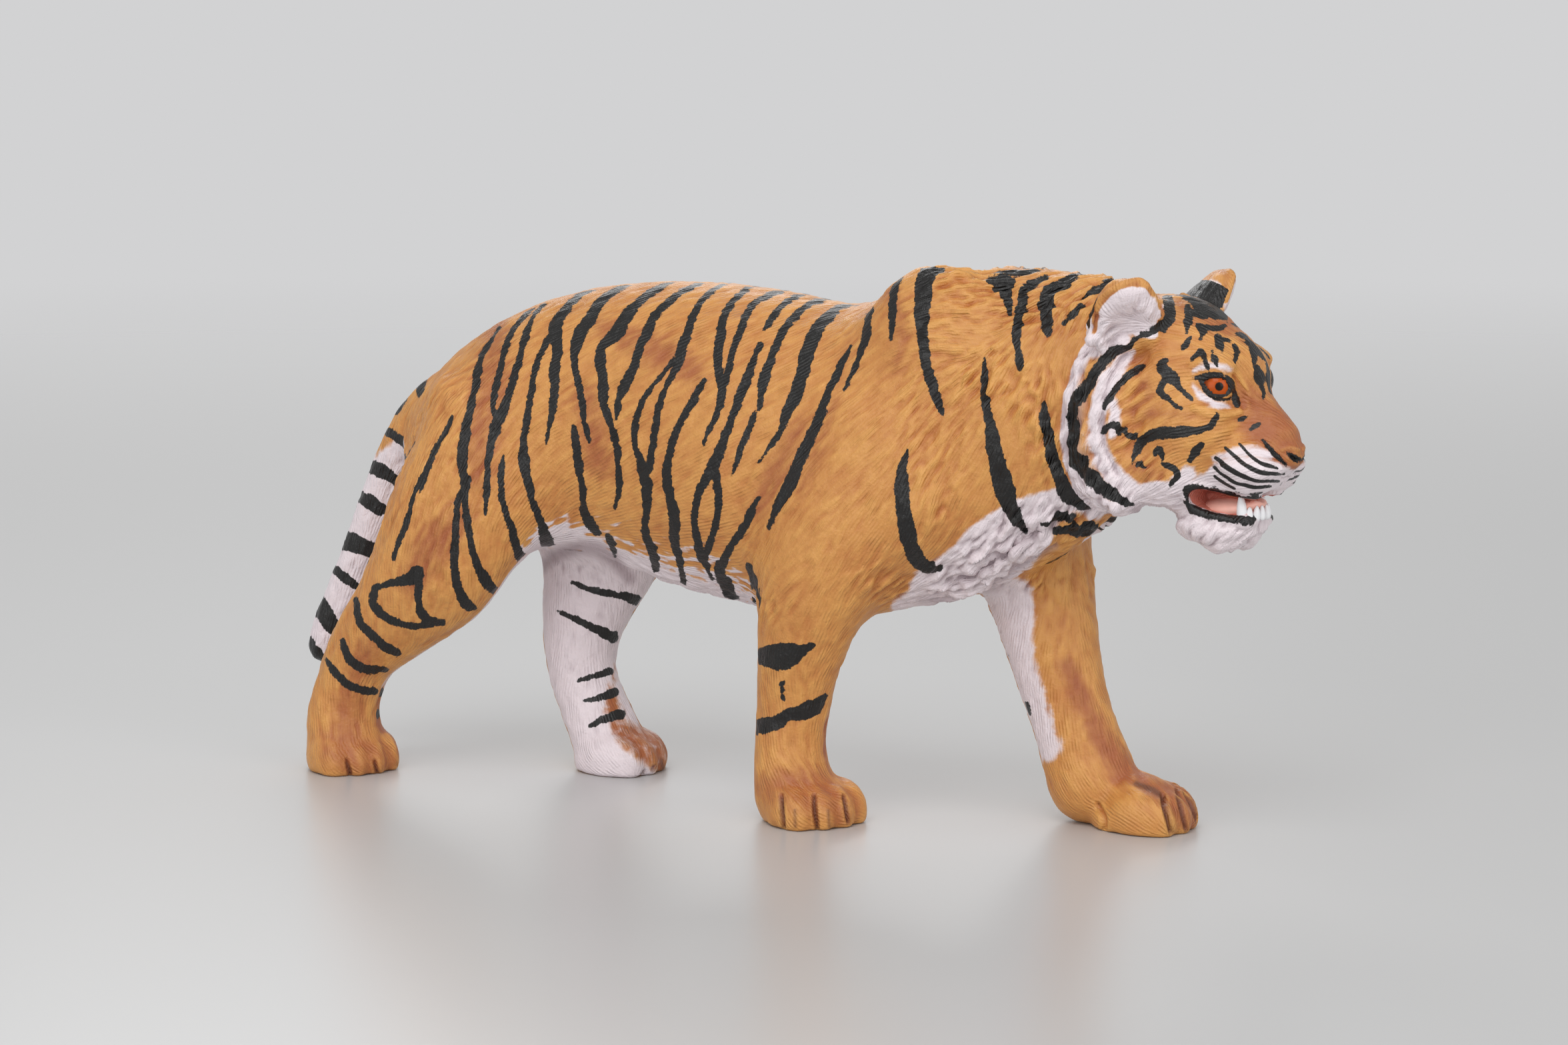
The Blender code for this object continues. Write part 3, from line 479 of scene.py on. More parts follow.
# Brown paint that was washed over the ochre coat
BODY_BROWN = {
    "haunch": ((746, 480, 40), (736, 560, 66), (726, 640, 66), (716, 720, 44)),
    "thigh": ((694, 766, 44), (652, 818, 66), (615, 872, 44)),
    "hock": ((560, 960, 40), (530, 1030, 50), (520, 1110, 60)),
    "flank_rear": ((900, 490, 40), (970, 520, 60), (1040, 560, 50)),
    "flank_low": ((880, 600, 50), (900, 700, 50)),
    "flank_mid": ((1200, 640, 30), (1170, 700, 50), (1140, 760, 40)),
    "shoulder_top": ((1290, 446, 24), (1330, 436, 36), (1352, 480, 30), (1344, 550, 18)),
    "shoulder_rear": ((1276, 500, 10), (1262, 560, 18), (1240, 640, 16), (1200, 740, 16)),
    "near_paw": ((1160, 1180, 60), (1220, 1190, 80), (1270, 1215, 60)),
    "near_hind_paw": ((500, 1120, 60), (540, 1140, 80), (590, 1160, 60)),
}

# Brown wash on the inner faces of the legs
INNER_BROWN = {
    "far_paw": ((1690, 1156, 30), (1736, 1186, 44), (1780, 1206, 66), (1796, 1230, 60)),
    "far_shin": ((1600, 1000, 30), (1650, 1100, 40), (1690, 1160, 50)),
    "far_hind": ((922, 1000, 10), (918, 1050, 26), (934, 1096, 40), (988, 1128, 66), (1016, 1146, 66)),
}

# Brown wash of the head
HEAD_BROWN = {
    "forehead": ((1768, 452, 20), (1800, 480, 34), (1850, 490, 40), (1880, 510, 24)),
    "nose": ((1876, 598, 40), (1900, 630, 84), (1926, 660, 100), (1950, 688, 84)),
    "cheek": ((1694, 612, 14), (1730, 622, 20), (1776, 620, 14)),
    "cheek_low": ((1700, 700, 20), (1730, 715, 26)),
    "temple": ((1700, 540, 20), (1720, 590, 24)),
    "ear_rim": (
        (1641, 486, 14), (1650, 450, 20), (1674, 430, 22), (1704, 420, 24), (1726, 432, 18),
        (1736, 456, 12),
    ),
}

# Foot and lean of the left ear in the head's frame, and the height where its tan tip starts, in mm
EAR_FOOT = (-3.6, 6.4, 6.4)
EAR_LEAN = (0.36, 0.5, 0.79)
EAR_TIP = 6.9

# How far the rear edge of the haunches is rounded off, and between which heights, in mm
HAUNCH_ROUNDING = 3.6
HAUNCH_HEIGHTS = (13.0, 24.0, 40.0, 52.0)

# How much the ears are widened and raised to the thin shells of the photo, and moved, in mm
EAR_WIDEN = 0.12
EAR_RAISE = 0.09
EAR_SHIFT = (-0.85, 0.0, 0.15)

# Tan rim of the ears and the coat at their foot, which stay free of white
EAR_RIM = {
    "rim": (
        (1641, 496, 8), (1646, 458, 12), (1672, 432, 13), (1704, 422, 14), (1728, 434, 11),
        (1739, 462, 8),
    ),
    "foot": ((1750, 472, 22), (1752, 492, 34), (1756, 516, 40)),
}

# White along the back of the forelegs' inner faces
INNER_WHITE = {
    "far_foreleg": (
        (1462, 872, 60), (1504, 900, 90), (1512, 960, 70), (1536, 1040, 56), (1566, 1120, 44),
    ),
}

# Lips, mouth and eye opening of the right side, as outlines in the photo's pixels
MOUTH_OUTLINE = (
    (1783, 744), (1786, 736), (1801, 733), (1822, 737), (1850, 745), (1875, 748), (1893, 748),
    (1891, 765), (1875, 772), (1855, 773), (1826, 770), (1803, 763), (1788, 755),
)
EYE_OUTLINE = (
    (1806, 572), (1812, 569), (1821, 567), (1829, 568), (1835, 571), (1838, 577), (1839, 583),
    (1836, 588), (1829, 590), (1821, 588), (1813, 583), (1809, 577),
)
# Width of the black liner round the eye, and the middles of eyeball and pupil, in pixels
EYE_LINER = 4.6
EYE_MIDDLE = (1824, 579)
PUPIL_MIDDLE = (1829, 580)
# Sizes of the eye in mm. It stands out of the skin around it by EYE_PROUD
EYE_RADIUS = 1.9
EYE_PROUD = 0.22
IRIS_RADIUS = 1.25
PUPIL_RADIUS = 0.46
PUPIL_SOFTNESS = 0.05
PUPIL_BLACK = "#140D0A"
# The lids bulge round the eyeball and fade into the head between these distances from its middle, in mm
LID_NEAR, LID_FAR = EYE_RADIUS * 1.5, EYE_RADIUS * 2.1
# Depth of the skin behind the open eye, cover of the lids over the eyeball, and edge of the opening
LID_SINK = 0.5
LID_COVER = 0.22
LID_EDGE = 0.02

# Ridges and grooves carved into the head: height in mm, then x, y and width in pixels
HEAD_CARVING = {
    "brow": (0.15, ((1786, 548, 12), (1806, 541, 18), (1830, 541, 18), (1850, 550, 12))),
    "eye_hollow": (-0.35, ((1852, 566, 14), (1862, 590, 22), (1866, 610, 14))),
    "lower_lid": (0.18, ((1800, 586, 8), (1818, 602, 12), (1840, 604, 8))),
    "cheek_bone": (0.35, ((1792, 612, 20), (1826, 622, 26), (1858, 618, 20))),
    "lip_pad": (0.6, ((1836, 700, 24), (1860, 704, 44), (1892, 706, 44), (1918, 702, 24))),
    "upper_lip": (0.38, (
        (1776, 744, 11), (1786, 731, 13), (1804, 728, 14), (1826, 733, 13), (1852, 741, 13),
        (1880, 744, 12), (1898, 743, 8),
    )),
    "lower_lip": (0.38, (
        (1776, 744, 11), (1786, 760, 13), (1804, 769, 14), (1828, 776, 14), (1856, 779, 14),
        (1884, 777, 12),
    )),
    "nostril": (-0.55, ((1936, 683, 5), (1944, 689, 9), (1950, 692, 6))),
    "nose_wing": (0.22, ((1922, 676, 7), (1934, 672, 10), (1948, 676, 8))),
    "nose_fold": (-0.25, ((1894, 661, 5), (1905, 673, 8), (1918, 687, 8), (1928, 698, 5))),
    "nose_under": (-0.3, ((1923, 719, 5), (1936, 716, 7), (1946, 710, 6))),
    "ear_fill": (0.8, ((1682, 516, 36), (1702, 512, 62), (1724, 506, 40))),
    "chin": (1.0, ((1782, 782, 50), (1816, 800, 64), (1850, 800, 60), (1870, 788, 40))),
    "ear_rim": (0.3, (
        (1640, 486, 8), (1650, 450, 10), (1676, 430, 10), (1704, 421, 10), (1724, 431, 9),
        (1735, 456, 8), (1738, 478, 6),
    )),
    "ruff_step": (0.55, (
        (1640, 505, 16), (1618, 560, 26), (1607, 620, 28), (1608, 680, 30), (1632, 735, 32),
        (1672, 762, 26),
    )),
    "ruff_groove": (-0.4, (
        (1690, 530, 12), (1664, 570, 14), (1652, 620, 14), (1656, 670, 16), (1676, 712, 14),
    )),
}

# The same on the body: toes, and folds of chest and groin
BODY_CARVING = {
    "near_toe_1": (-0.5, ((1171, 1192, 6), (1172, 1212, 9), (1175, 1244, 8))),
    "near_toe_2": (-0.5, ((1221, 1192, 6), (1222, 1212, 9), (1226, 1246, 8))),
    "near_toe_3": (-0.45, ((1266, 1192, 6), (1268, 1208, 8), (1273, 1234, 8))),
    "hind_toe_1": (-0.45, ((520, 1140, 6), (524, 1158, 8), (526, 1176, 7))),
    "hind_toe_2": (-0.45, ((562, 1142, 6), (566, 1160, 8), (568, 1178, 7))),
    "hind_toe_3": (-0.4, ((598, 1146, 6), (602, 1160, 7), (604, 1174, 6))),
    "chest_crease_1": (-0.4, ((1424, 874, 8), (1460, 862, 14), (1504, 832, 14), (1562, 798, 8))),
    "chest_crease_2": (-0.4, ((1476, 884, 8), (1528, 852, 14), (1582, 820, 8))),
    "chest_roll": (0.45, ((1400, 884, 20), (1452, 878, 28), (1510, 842, 30), (1580, 800, 24))),
    "groin_fold": (-0.5, ((812, 862, 12), (838, 836, 20), (870, 826, 18))),
}

# The same on the paws of the far legs
INNER_CARVING = {
    "far_toe_1": (-0.6, ((1744, 1192, 8), (1748, 1210, 12), (1757, 1248, 11))),
    "far_toe_2": (-0.35, ((1765, 1184, 6), (1770, 1206, 9), (1779, 1244, 8))),
    "far_toe_3": (-0.45, ((1777, 1188, 6), (1788, 1208, 10), (1798, 1234, 9))),
    "far_heel": (-0.5, ((1646, 1206, 8), (1654, 1224, 14), (1656, 1246, 12))),
}

# Depth of the carved fur in mm, brushed on softly
BODY_FUR_DEPTH = {
    "nape": (0.4, ((1410, 420, 60), (1500, 440, 90), (1590, 450, 90), (1650, 430, 50))),
    "neck": (0.34, ((1480, 560, 90), (1560, 600, 90), (1590, 700, 70))),
    "shoulder": (0.17, ((1400, 480, 110), (1410, 620, 130), (1400, 760, 110))),
    "chest": (0.5, ((1420, 880, 60), (1490, 840, 80), (1560, 790, 80), (1620, 780, 50))),
    "elbow": (0.24, ((1290, 870, 50), (1350, 890, 60))),
    "belly": (0.22, ((820, 850, 40), (930, 860, 50), (1040, 890, 50), (1140, 910, 50))),
    "haunch": (0.12, ((700, 600, 110), (680, 740, 120), (660, 860, 100))),
    "tail": (0.12, ((640, 600, 50), (580, 740, 70), (530, 860, 70), (490, 970, 60))),
}

# The same on the head
HEAD_FUR_DEPTH = {
    "ruff": (0.42, ((1650, 490, 40), (1620, 560, 60), (1612, 640, 70), (1630, 710, 70), (1670, 750, 60))),
    "cheek": (0.22, ((1690, 580, 60), (1690, 660, 80), (1720, 710, 70))),
    "chin": (0.34, ((1800, 790, 50), (1840, 800, 70), (1880, 790, 40))),
    "throat": (0.3, ((1700, 755, 50), (1750, 765, 50))),
    "ear": (0.14, ((1660, 480, 40), (1690, 460, 50), (1715, 465, 40))),
}

# Bare parts of the head, where no fur is carved
SMOOTH_SKIN = {
    "nose": ((1890, 640, 50), (1930, 670, 60), (1955, 690, 40)),
    "lips": ((1780, 744, 16), (1804, 730, 14), (1850, 741, 14), (1895, 744, 14)),
    "lips_low": ((1780, 750, 16), (1804, 768, 14), (1850, 778, 14), (1895, 774, 14)),
    "eye": ((1800, 575, 24), (1824, 580, 44), (1846, 590, 28)),
}

# How the fur lies, as arrows in the photo: x, y, then the step right and down
BODY_FUR_LIE = (
    (570, 680, -0.4, 1.0), (545, 780, -0.3, 1.0), (520, 880, -0.3, 1.0), (480, 980, -0.2, 1.0),
    (640, 590, -0.8, 0.6), (640, 690, -0.5, 0.9), (700, 600, -0.6, 0.8), (640, 800, -0.4, 1.0),
    (720, 520, -1.0, 0.4), (800, 460, -1.0, 0.15), (900, 440, -1.0, 0.1), (1100, 440, -1.0, 0.1),
    (1000, 560, -1.0, 0.25), (850, 600, -1.0, 0.45), (1100, 600, -1.0, 0.33), (1200, 560, -1.0, 0.3),
    (800, 760, -0.6, 0.9), (720, 850, 0.0, 1.0), (900, 740, -0.9, 0.5), (1050, 780, -1.0, 0.4),
    (950, 860, -1.0, 0.3), (1120, 880, -0.9, 0.5), (600, 900, -0.2, 1.0), (540, 1000, -0.3, 1.0),
    (520, 1080, 0.1, 1.0), (560, 1150, 0.8, 0.5), (900, 950, 0.1, 1.0), (930, 1080, 0.1, 1.0),
    (1250, 700, -0.9, 0.6), (1300, 820, -0.6, 0.9), (1350, 430, -1.0, 0.15), (1440, 500, -1.0, -0.1),
    (1440, 600, -0.9, 0.7), (1420, 680, -0.6, 0.9), (1400, 780, -0.3, 1.0), (1340, 860, -0.4, 1.0),
    (1260, 960, -0.3, 1.0), (1190, 1080, 0.0, 1.0), (1190, 1180, 0.5, 0.8), (1250, 1220, 0.9, 0.3),
    (1480, 430, -1.0, 0.1), (1560, 430, -0.9, 0.4), (1500, 560, -0.6, 0.9), (1600, 480, -0.5, 1.0),
    (1600, 580, -0.2, 1.0), (1560, 680, -0.3, 1.0), (1500, 780, -0.5, 1.0), (1600, 760, -0.3, 1.0),
    (1450, 860, -0.6, 0.9), (1520, 960, 0.1, 1.0), (1600, 1060, 0.4, 1.0), (1700, 1170, 0.9, 0.5),
)

# The same on the head
HEAD_FUR_LIE = (
    (1940, 660, -0.6, -0.9), (1900, 640, -0.8, -0.4), (1860, 640, -1.0, 0.1), (1780, 650, -1.0, 0.2),
    (1700, 660, -1.0, 0.5), (1680, 560, -0.7, 0.8), (1620, 620, -0.5, 1.0), (1620, 700, -0.3, 1.0),
    (1660, 745, -0.5, 1.0), (1720, 730, -0.7, 0.8), (1760, 700, -0.9, 0.5), (1880, 560, -0.7, -0.7),
    (1840, 520, -0.8, -0.7), (1800, 490, -0.9, -0.5), (1760, 450, -1.0, -0.3), (1760, 540, -1.0, 0.1),
    (1740, 600, -1.0, 0.3), (1700, 500, -0.8, 0.5), (1650, 500, -0.5, 0.9), (1670, 460, -0.4, -1.0),
    (1705, 440, 0.0, -1.0), (1725, 460, 0.3, -1.0), (1880, 710, -0.9, 0.4), (1830, 710, -1.0, 0.4),
    (1850, 790, -0.6, 0.8), (1820, 810, -0.5, 0.9), (1780, 780, -0.6, 0.7), (1890, 790, -0.2, 1.0),
)

# The border of the head, behind which the neck starts: height and place in the head's frame
HEAD_BORDER = (
    (-16, -6.0), (-11.6, -8.6), (-9, -9.6), (-5.8, -10.3), (-2, -10.4), (1, -9.8), (4.5, -9.0),
    (8, -7.6), (11, -6.0), (20, -6.0),
)
# The head ends above this height in mm, so that it does not take in the forward paw below it
HEAD_LEAST = 24.0

# Carved fur, in smoothing passes: how wide and how long its locks, strands and hairs are drawn
FUR_LAYERS = ((5, 24), (1, 14), (0, 7))
# Shares of the locks, strands and hairs in its height, and its least depth in mm
FUR_SHARES = (0.4, 0.45, 0.35)
FUR_LEAST = 0.06
# Locks rise this steeply from the grooves between them up to a flat top
LOCK_STEEPNESS, LOCK_TOP = 1.5, 1.4
# Combing: how strictly it follows the lie of the fur, its least share aslant, and its share per pass
COMB_SHARPNESS, COMB_LEAST, COMB_SHARE = 6, 1e-4, 0.6
# The lie of the fur blends between its arrows over about 20 pixels, squared here, and lifts a little
LIE_BLUR = 400
LIE_LIFT = 0.02

# What paint_skin leaves on the skin for the paint, and the colours that the paint mixes
PAINT_LAYERS = (
    "stripe", "whisker", "white", "brown", "shade", "toes", "flesh", "relief", "hollow", "across",
)
PAINTS = (
    "light_coat", "dark_coat", "brown_wash", "white_fur", "lilac_shade", "toe_shade_brown", "black_stripe",
    "mouth_red",
)
# The place of the vector that turns the hairs, among the inputs of the Gabor texture
GABOR_ORIENTATION = 5

# The coat is cut into pieces of fewer than 200,000 triangles: the head, and slices along the body in mm
COAT_CUTS = (-36.0, -6.0, 20.0)
COAT_NAMES = ("coat_head", "coat_haunch", "coat_loin", "coat_flank", "coat_shoulder")

# The mouth in the head's own frame, in mm. A tooth has its foot, its tip and its radius
MOUTH_PUSH = 2.6
TONGUE_PLACE = (5.9, 0.0, -10.8)
TONGUE_SIZE = (4.0, 3.0, 1.3)
TONGUE_PITCH = -5.0
TONGUE_CREASE_WIDTH, TONGUE_CREASE_DEPTH = 0.55, 0.45
TONGUE_CURL = 0.05
TEETH = (
    ((8.4, 2.2, -12.2), (8.2, 2.3, -8.7), 0.92),
    ((9.0, 1.9, -12.2), (9.15, 1.95, -10.2), 0.7),
    ((9.5, 1.25, -12.1), (9.65, 1.25, -10.1), 0.68),
    ((9.8, 0.5, -12.0), (9.9, 0.5, -10.1), 0.62),
)

# Shares of a tooth's height where it is cut round, and how much it narrows, evenly and towards its tip
TOOTH_CUTS = (0.4, 0.75)
TOOTH_TAPER = (0.25, 0.45)

# Stage: floor and fade in mm, lamps with their place in mm, power in watts and size in mm
FLOOR_RADIUS = 2500
FLOOR_FADE = (250, 1100)
FLOOR_COLOUR = "#C6C6C6"
PAPER = "#D2D2D3"
ROOM_LIGHT = 0.54
LAMP_AIM = (0, 0, 30)
LAMPS = (
    ("key", (250, -650, 850), 3.7, 600),
    ("front", (-60, -800, 170), 1.8, 600),
    ("fill", (900, -300, 350), 2.0, 600),
    ("rim", (-500, 700, 600), 2.4, 500),
)

# Smoothing passes over the solid's facets, and points per row of a stroke
SMOOTHING_PASSES = 22
PATH_STEPS = 5
# How far from a stroke a place still counts, and how soft the edge of a brush is, in pixels
FAR = 60.0
SOFT_EDGE = 13.0
# The strokes were read at their solid black, and this many times that width takes in their frayed edges
BODY_FULLNESS = 1.2
HEAD_FULLNESS = 1.0
# Black ends where the skin faces the camera less than this, by so many pixels per unit of facing
WHISKER_FACING = 0.08
STRIPE_FACING = 0.18
TURNED_LOSS = 90
NOISE_SEED = 7

# Soft borders: where each share starts and where it is full, in mm or as a part of a normal.
# Head across its border, ears over their foot and around their middle line, and where they are drawn out
HEAD_BLEND = (-0.4, 0.4)
EAR_START, EAR_REACH = (2.4, 3.4), (4.6, 5.4)
EAR_STRETCH_START, EAR_STRETCH_REACH = (0.6, 3.0), (5.0, 6.4)
# Black backs and inner sides of the ears, their white fronts, and the tan above both
EAR_BACKWARD, EAR_INWARD, EAR_FORWARD = (0.35, 0.6), (0.1, 0.4), (-0.1, 0.3)
EAR_BLACK_END, EAR_WHITE_END = (EAR_TIP, EAR_TIP + 0.6), (EAR_TIP + 0.4, EAR_TIP + 1)
# Tail: beyond the width of its line, and to each side of the middle
TAIL_REACH = 4
TAIL_EDGE, TAIL_ASIDE = (0.4, 0.9), (3.6, 4.2)
# Inner faces of the legs: below this height, or on the front of the chest, and how they face
LEG_TOP = (27, 31)
CHEST_FORWARD, CHEST_ASIDE, CHEST_TOP = (24, 28), (3, 5), (40, 43)
INNER_FACING, INNER_TURN = (0.0, 0.2), (-0.05, 0.2)
# Haunches: behind the middle line of the leg and out from the middle of the body
HAUNCH_BACK, HAUNCH_ASIDE = (0, 12), (3.5, 10)
# Facing of what is carved, of what soft paint reaches round, and of the painted shade between the toes
CARVE_FACING, WRAP_FACING, TOE_FACING = (-0.1, 0.3), (-0.8, -0.35), (-0.1, 0.2)
# Fur starts above the soles
FUR_START = (0.6, 6.0)
# White of the belly, of the jaw's underside and of the hind legs, and the crown that stays free of it
BELLY_DOWNWARD, BELLY_HEIGHT, BELLY_REAR, BELLY_FRONT = (0.4, 0.8), (19, 23), (-33, -28), (12, 16)
JAW_HEIGHT, JAW_DOWNWARD = (5.5, 8.0), (0.1, 0.5)
HIND_FRONT, HIND_PAW_TOP = (-16, -12), (7, 11)
CROWN_HEIGHT, CROWN_ASIDE = (5.0, 6.5), (5.0, 6.5)
# Stripes across the haunches: how they face, where they end in front, and their loss in mm beyond that
REAR_FACING, REAR_FRONT, REAR_LOSS = (0.35, 0.6), (-44, -40), 6
# Mouth: half width of its middle, which stays, and the slope of its walls
MOUTH_CORE, MOUTH_EDGE = 0.9, (0.0, 0.8)


def mm(point):
    """A point given in millimetres, in metres."""
    return Vector(point) * MM


def linear(colour):
    """The linear value of an sRGB colour written as hex."""
    parts = [int(colour[place : place + 2], 16) / 255 for place in (1, 3, 5)]
    return tuple(part / 12.92 if part <= 0.04045 else ((part + 0.055) / 1.055) ** 2.4 for part in parts)


def paint_colour(label, words, colour):
    """A colour that a user can change."""
    return FloatVectorProperty(name=label, description=words, default=linear(colour), subtype="COLOR")


def ramp(value, low, high):
    """A smooth step from 0 at low to 1 at high."""
    share = np.clip((value - low) / (high - low), 0, 1)
    return share * share * (3 - 2 * share)


def rows_of(vectors):
    """Vectors over their lengths."""
    return vectors / np.maximum(np.linalg.norm(vectors, axis=1), 1e-9)[:, None]


CAMERA_PAN = Matrix.Rotation(math.radians(CAMERA_TURN[2]), 3, "Z")
CAMERA_TILT = Matrix.Rotation(math.radians(CAMERA_TURN[0]), 3, "X")
CAMERA_AXES = np.array(CAMERA_PAN @ CAMERA_TILT)
RIGHTWARD, UPWARD, BACKWARD = CAMERA_AXES.T
FOCAL = LENS / SENSOR * PHOTO_WIDTH


def photo_places(points):
    """Where points in mm fall on the photo, in its pixels, and their distance."""
    away = points - np.array(CAMERA_PLACE)
    depth = -(away @ BACKWARD)
    across = PHOTO_WIDTH / 2 + FOCAL * (away @ RIGHTWARD) / depth
    down = PHOTO_HEIGHT / 2 - FOCAL * (away @ UPWARD) / depth
    return np.stack((across, down), axis=1), depth


def photo_ray(place):
    """The direction in which the camera sees a pixel of the photo."""
    ray = (place[0] - PHOTO_WIDTH / 2) / FOCAL * RIGHTWARD
    ray = ray - (place[1] - PHOTO_HEIGHT / 2) / FOCAL * UPWARD - BACKWARD
    return ray / np.linalg.norm(ray)


def smooth_path(rows):
    """A smooth line through the rows of a stroke."""
    rows = np.array(rows, float)
    rows = np.vstack((2 * rows[0] - rows[1], rows, 2 * rows[-1] - rows[-2]))
    shares = np.linspace(0, 1, PATH_STEPS, endpoint=False)[:, None]
    parts = []
    for a, b, c, d in zip(rows, rows[1:], rows[2:], rows[3:]):
        bend = 2 * a - 5 * b + 4 * c - d
        twist = 3 * b - a - 3 * c + d
        parts.append(b + 0.5 * ((c - a) * shares + bend * shares**2 + twist * shares**3))
    parts.append(rows[-2][None])
    return np.vstack(parts)


def outside(places, rows, reach=FAR):
    """How far each place lies outside a stroke, and below zero inside it. Also the share of its width."""
    path = smooth_path(rows)
    half = np.maximum(path[:, -1], 0.1) / 2
    low = path[:, :2].min(axis=0) - half.max() - reach
    high = path[:, :2].max(axis=0) + half.max() + reach
    near = np.nonzero(((places > low) & (places < high)).all(axis=1))[0]
    gap = np.full(len(near), float(reach))
    share = np.full(len(near), 9.0)
    spots = places[near]
    for start, end, wide_a, wide_b in zip(path[:-1, :2], path[1:, :2], half[:-1], half[1:]):
        run = end - start
        along = np.clip((spots - start) @ run / max(run @ run, 1e-9), 0, 1)
        away = np.linalg.norm(spots - start - along[:, None] * run, axis=1)
        wide = wide_a + (wide_b - wide_a) * along
        gap = np.minimum(gap, away - wide)
        share = np.minimum(share, away / wide)
    return near, gap, share


def nearest_gap(places, strokes, reach=FAR, fullness=1.0):
    """How far each place lies outside the nearest of several strokes."""
    found = np.full(len(places), float(reach))
    for rows in strokes.values():
        rows = [(*row[:-1], row[-1] * fullness) for row in rows]
        near, gap, _ = outside(places, rows, reach)
        found[near] = np.minimum(found[near], gap)
    return found


def brushed(places, strokes, soft=SOFT_EDGE):
    """How much paint a soft brush leaves at each place."""
    return 1 - ramp(nearest_gap(places, strokes), -soft, soft)


def inside_outline(places, outline):
    """How far each place lies inside a closed outline, and below zero outside it."""
    corners = np.array(outline, float)
    low, high = corners.min(axis=0) - FAR, corners.max(axis=0) + FAR
    near = np.nonzero(((places > low) & (places < high)).all(axis=1))[0]
    spots = places[near]
    gap = np.full(len(near), FAR)
    within = np.zeros(len(near), bool)
    for start, end in zip(corners, np.roll(corners, -1, axis=0)):
        run = end - start
        along = np.clip((spots - start) @ run / (run @ run), 0, 1)
        gap = np.minimum(gap, np.linalg.norm(spots - start - along[:, None] * run, axis=1))
        crosses = (start[1] > spots[:, 1]) != (end[1] > spots[:, 1])
        rise = end[1] - start[1] if end[1] != start[1] else 1e-9
        within ^= crosses & (spots[:, 0] < start[0] + (spots[:, 1] - start[1]) * run[0] / rise)
    found = np.full(len(places), -FAR)
    found[near] = np.where(within, gap, -gap)
    return found


def leg_lead(points, lead, line, side):
    """How far the left leg stands ahead at each point, less as the point leaves the leg."""
    heights, leads = np.array(lead, float).T
    line_heights, middles = np.array(line, float).T
    ahead = np.interp(points[:, 2], heights, leads)
    middle = np.interp(points[:, 2], line_heights, middles) + (ahead if side > 0 else 0)
    near, far = LEG_REACH
    return ahead * (1 - ramp(np.abs(points[:, 0] - middle), near, far)) * (points[:, 2] < heights[-1])


def legs_lead(points, side):
    """The same for forelegs and hind legs together."""
    fore = leg_lead(points, FORELEG_LEAD, FORELEG_LINE, side)
    return fore + leg_lead(points, HIND_LEG_LEAD, HIND_LEG_LINE, side)


def to_head(points):
    """Points in the head's own frame, in mm."""
    turn = np.array(HEAD_FRAME.to_3x3())
    return (points - np.array(HEAD_PLACE)) @ turn


def from_head(points):
    """Points given in the head's own frame, in mm."""
    turn = np.array(HEAD_FRAME.to_3x3())
    return points @ turn.T + np.array(HEAD_PLACE)


def flip_y(vectors):
    """Vectors mirrored to the animal's other side."""
    return vectors * np.array((1, -1, 1))


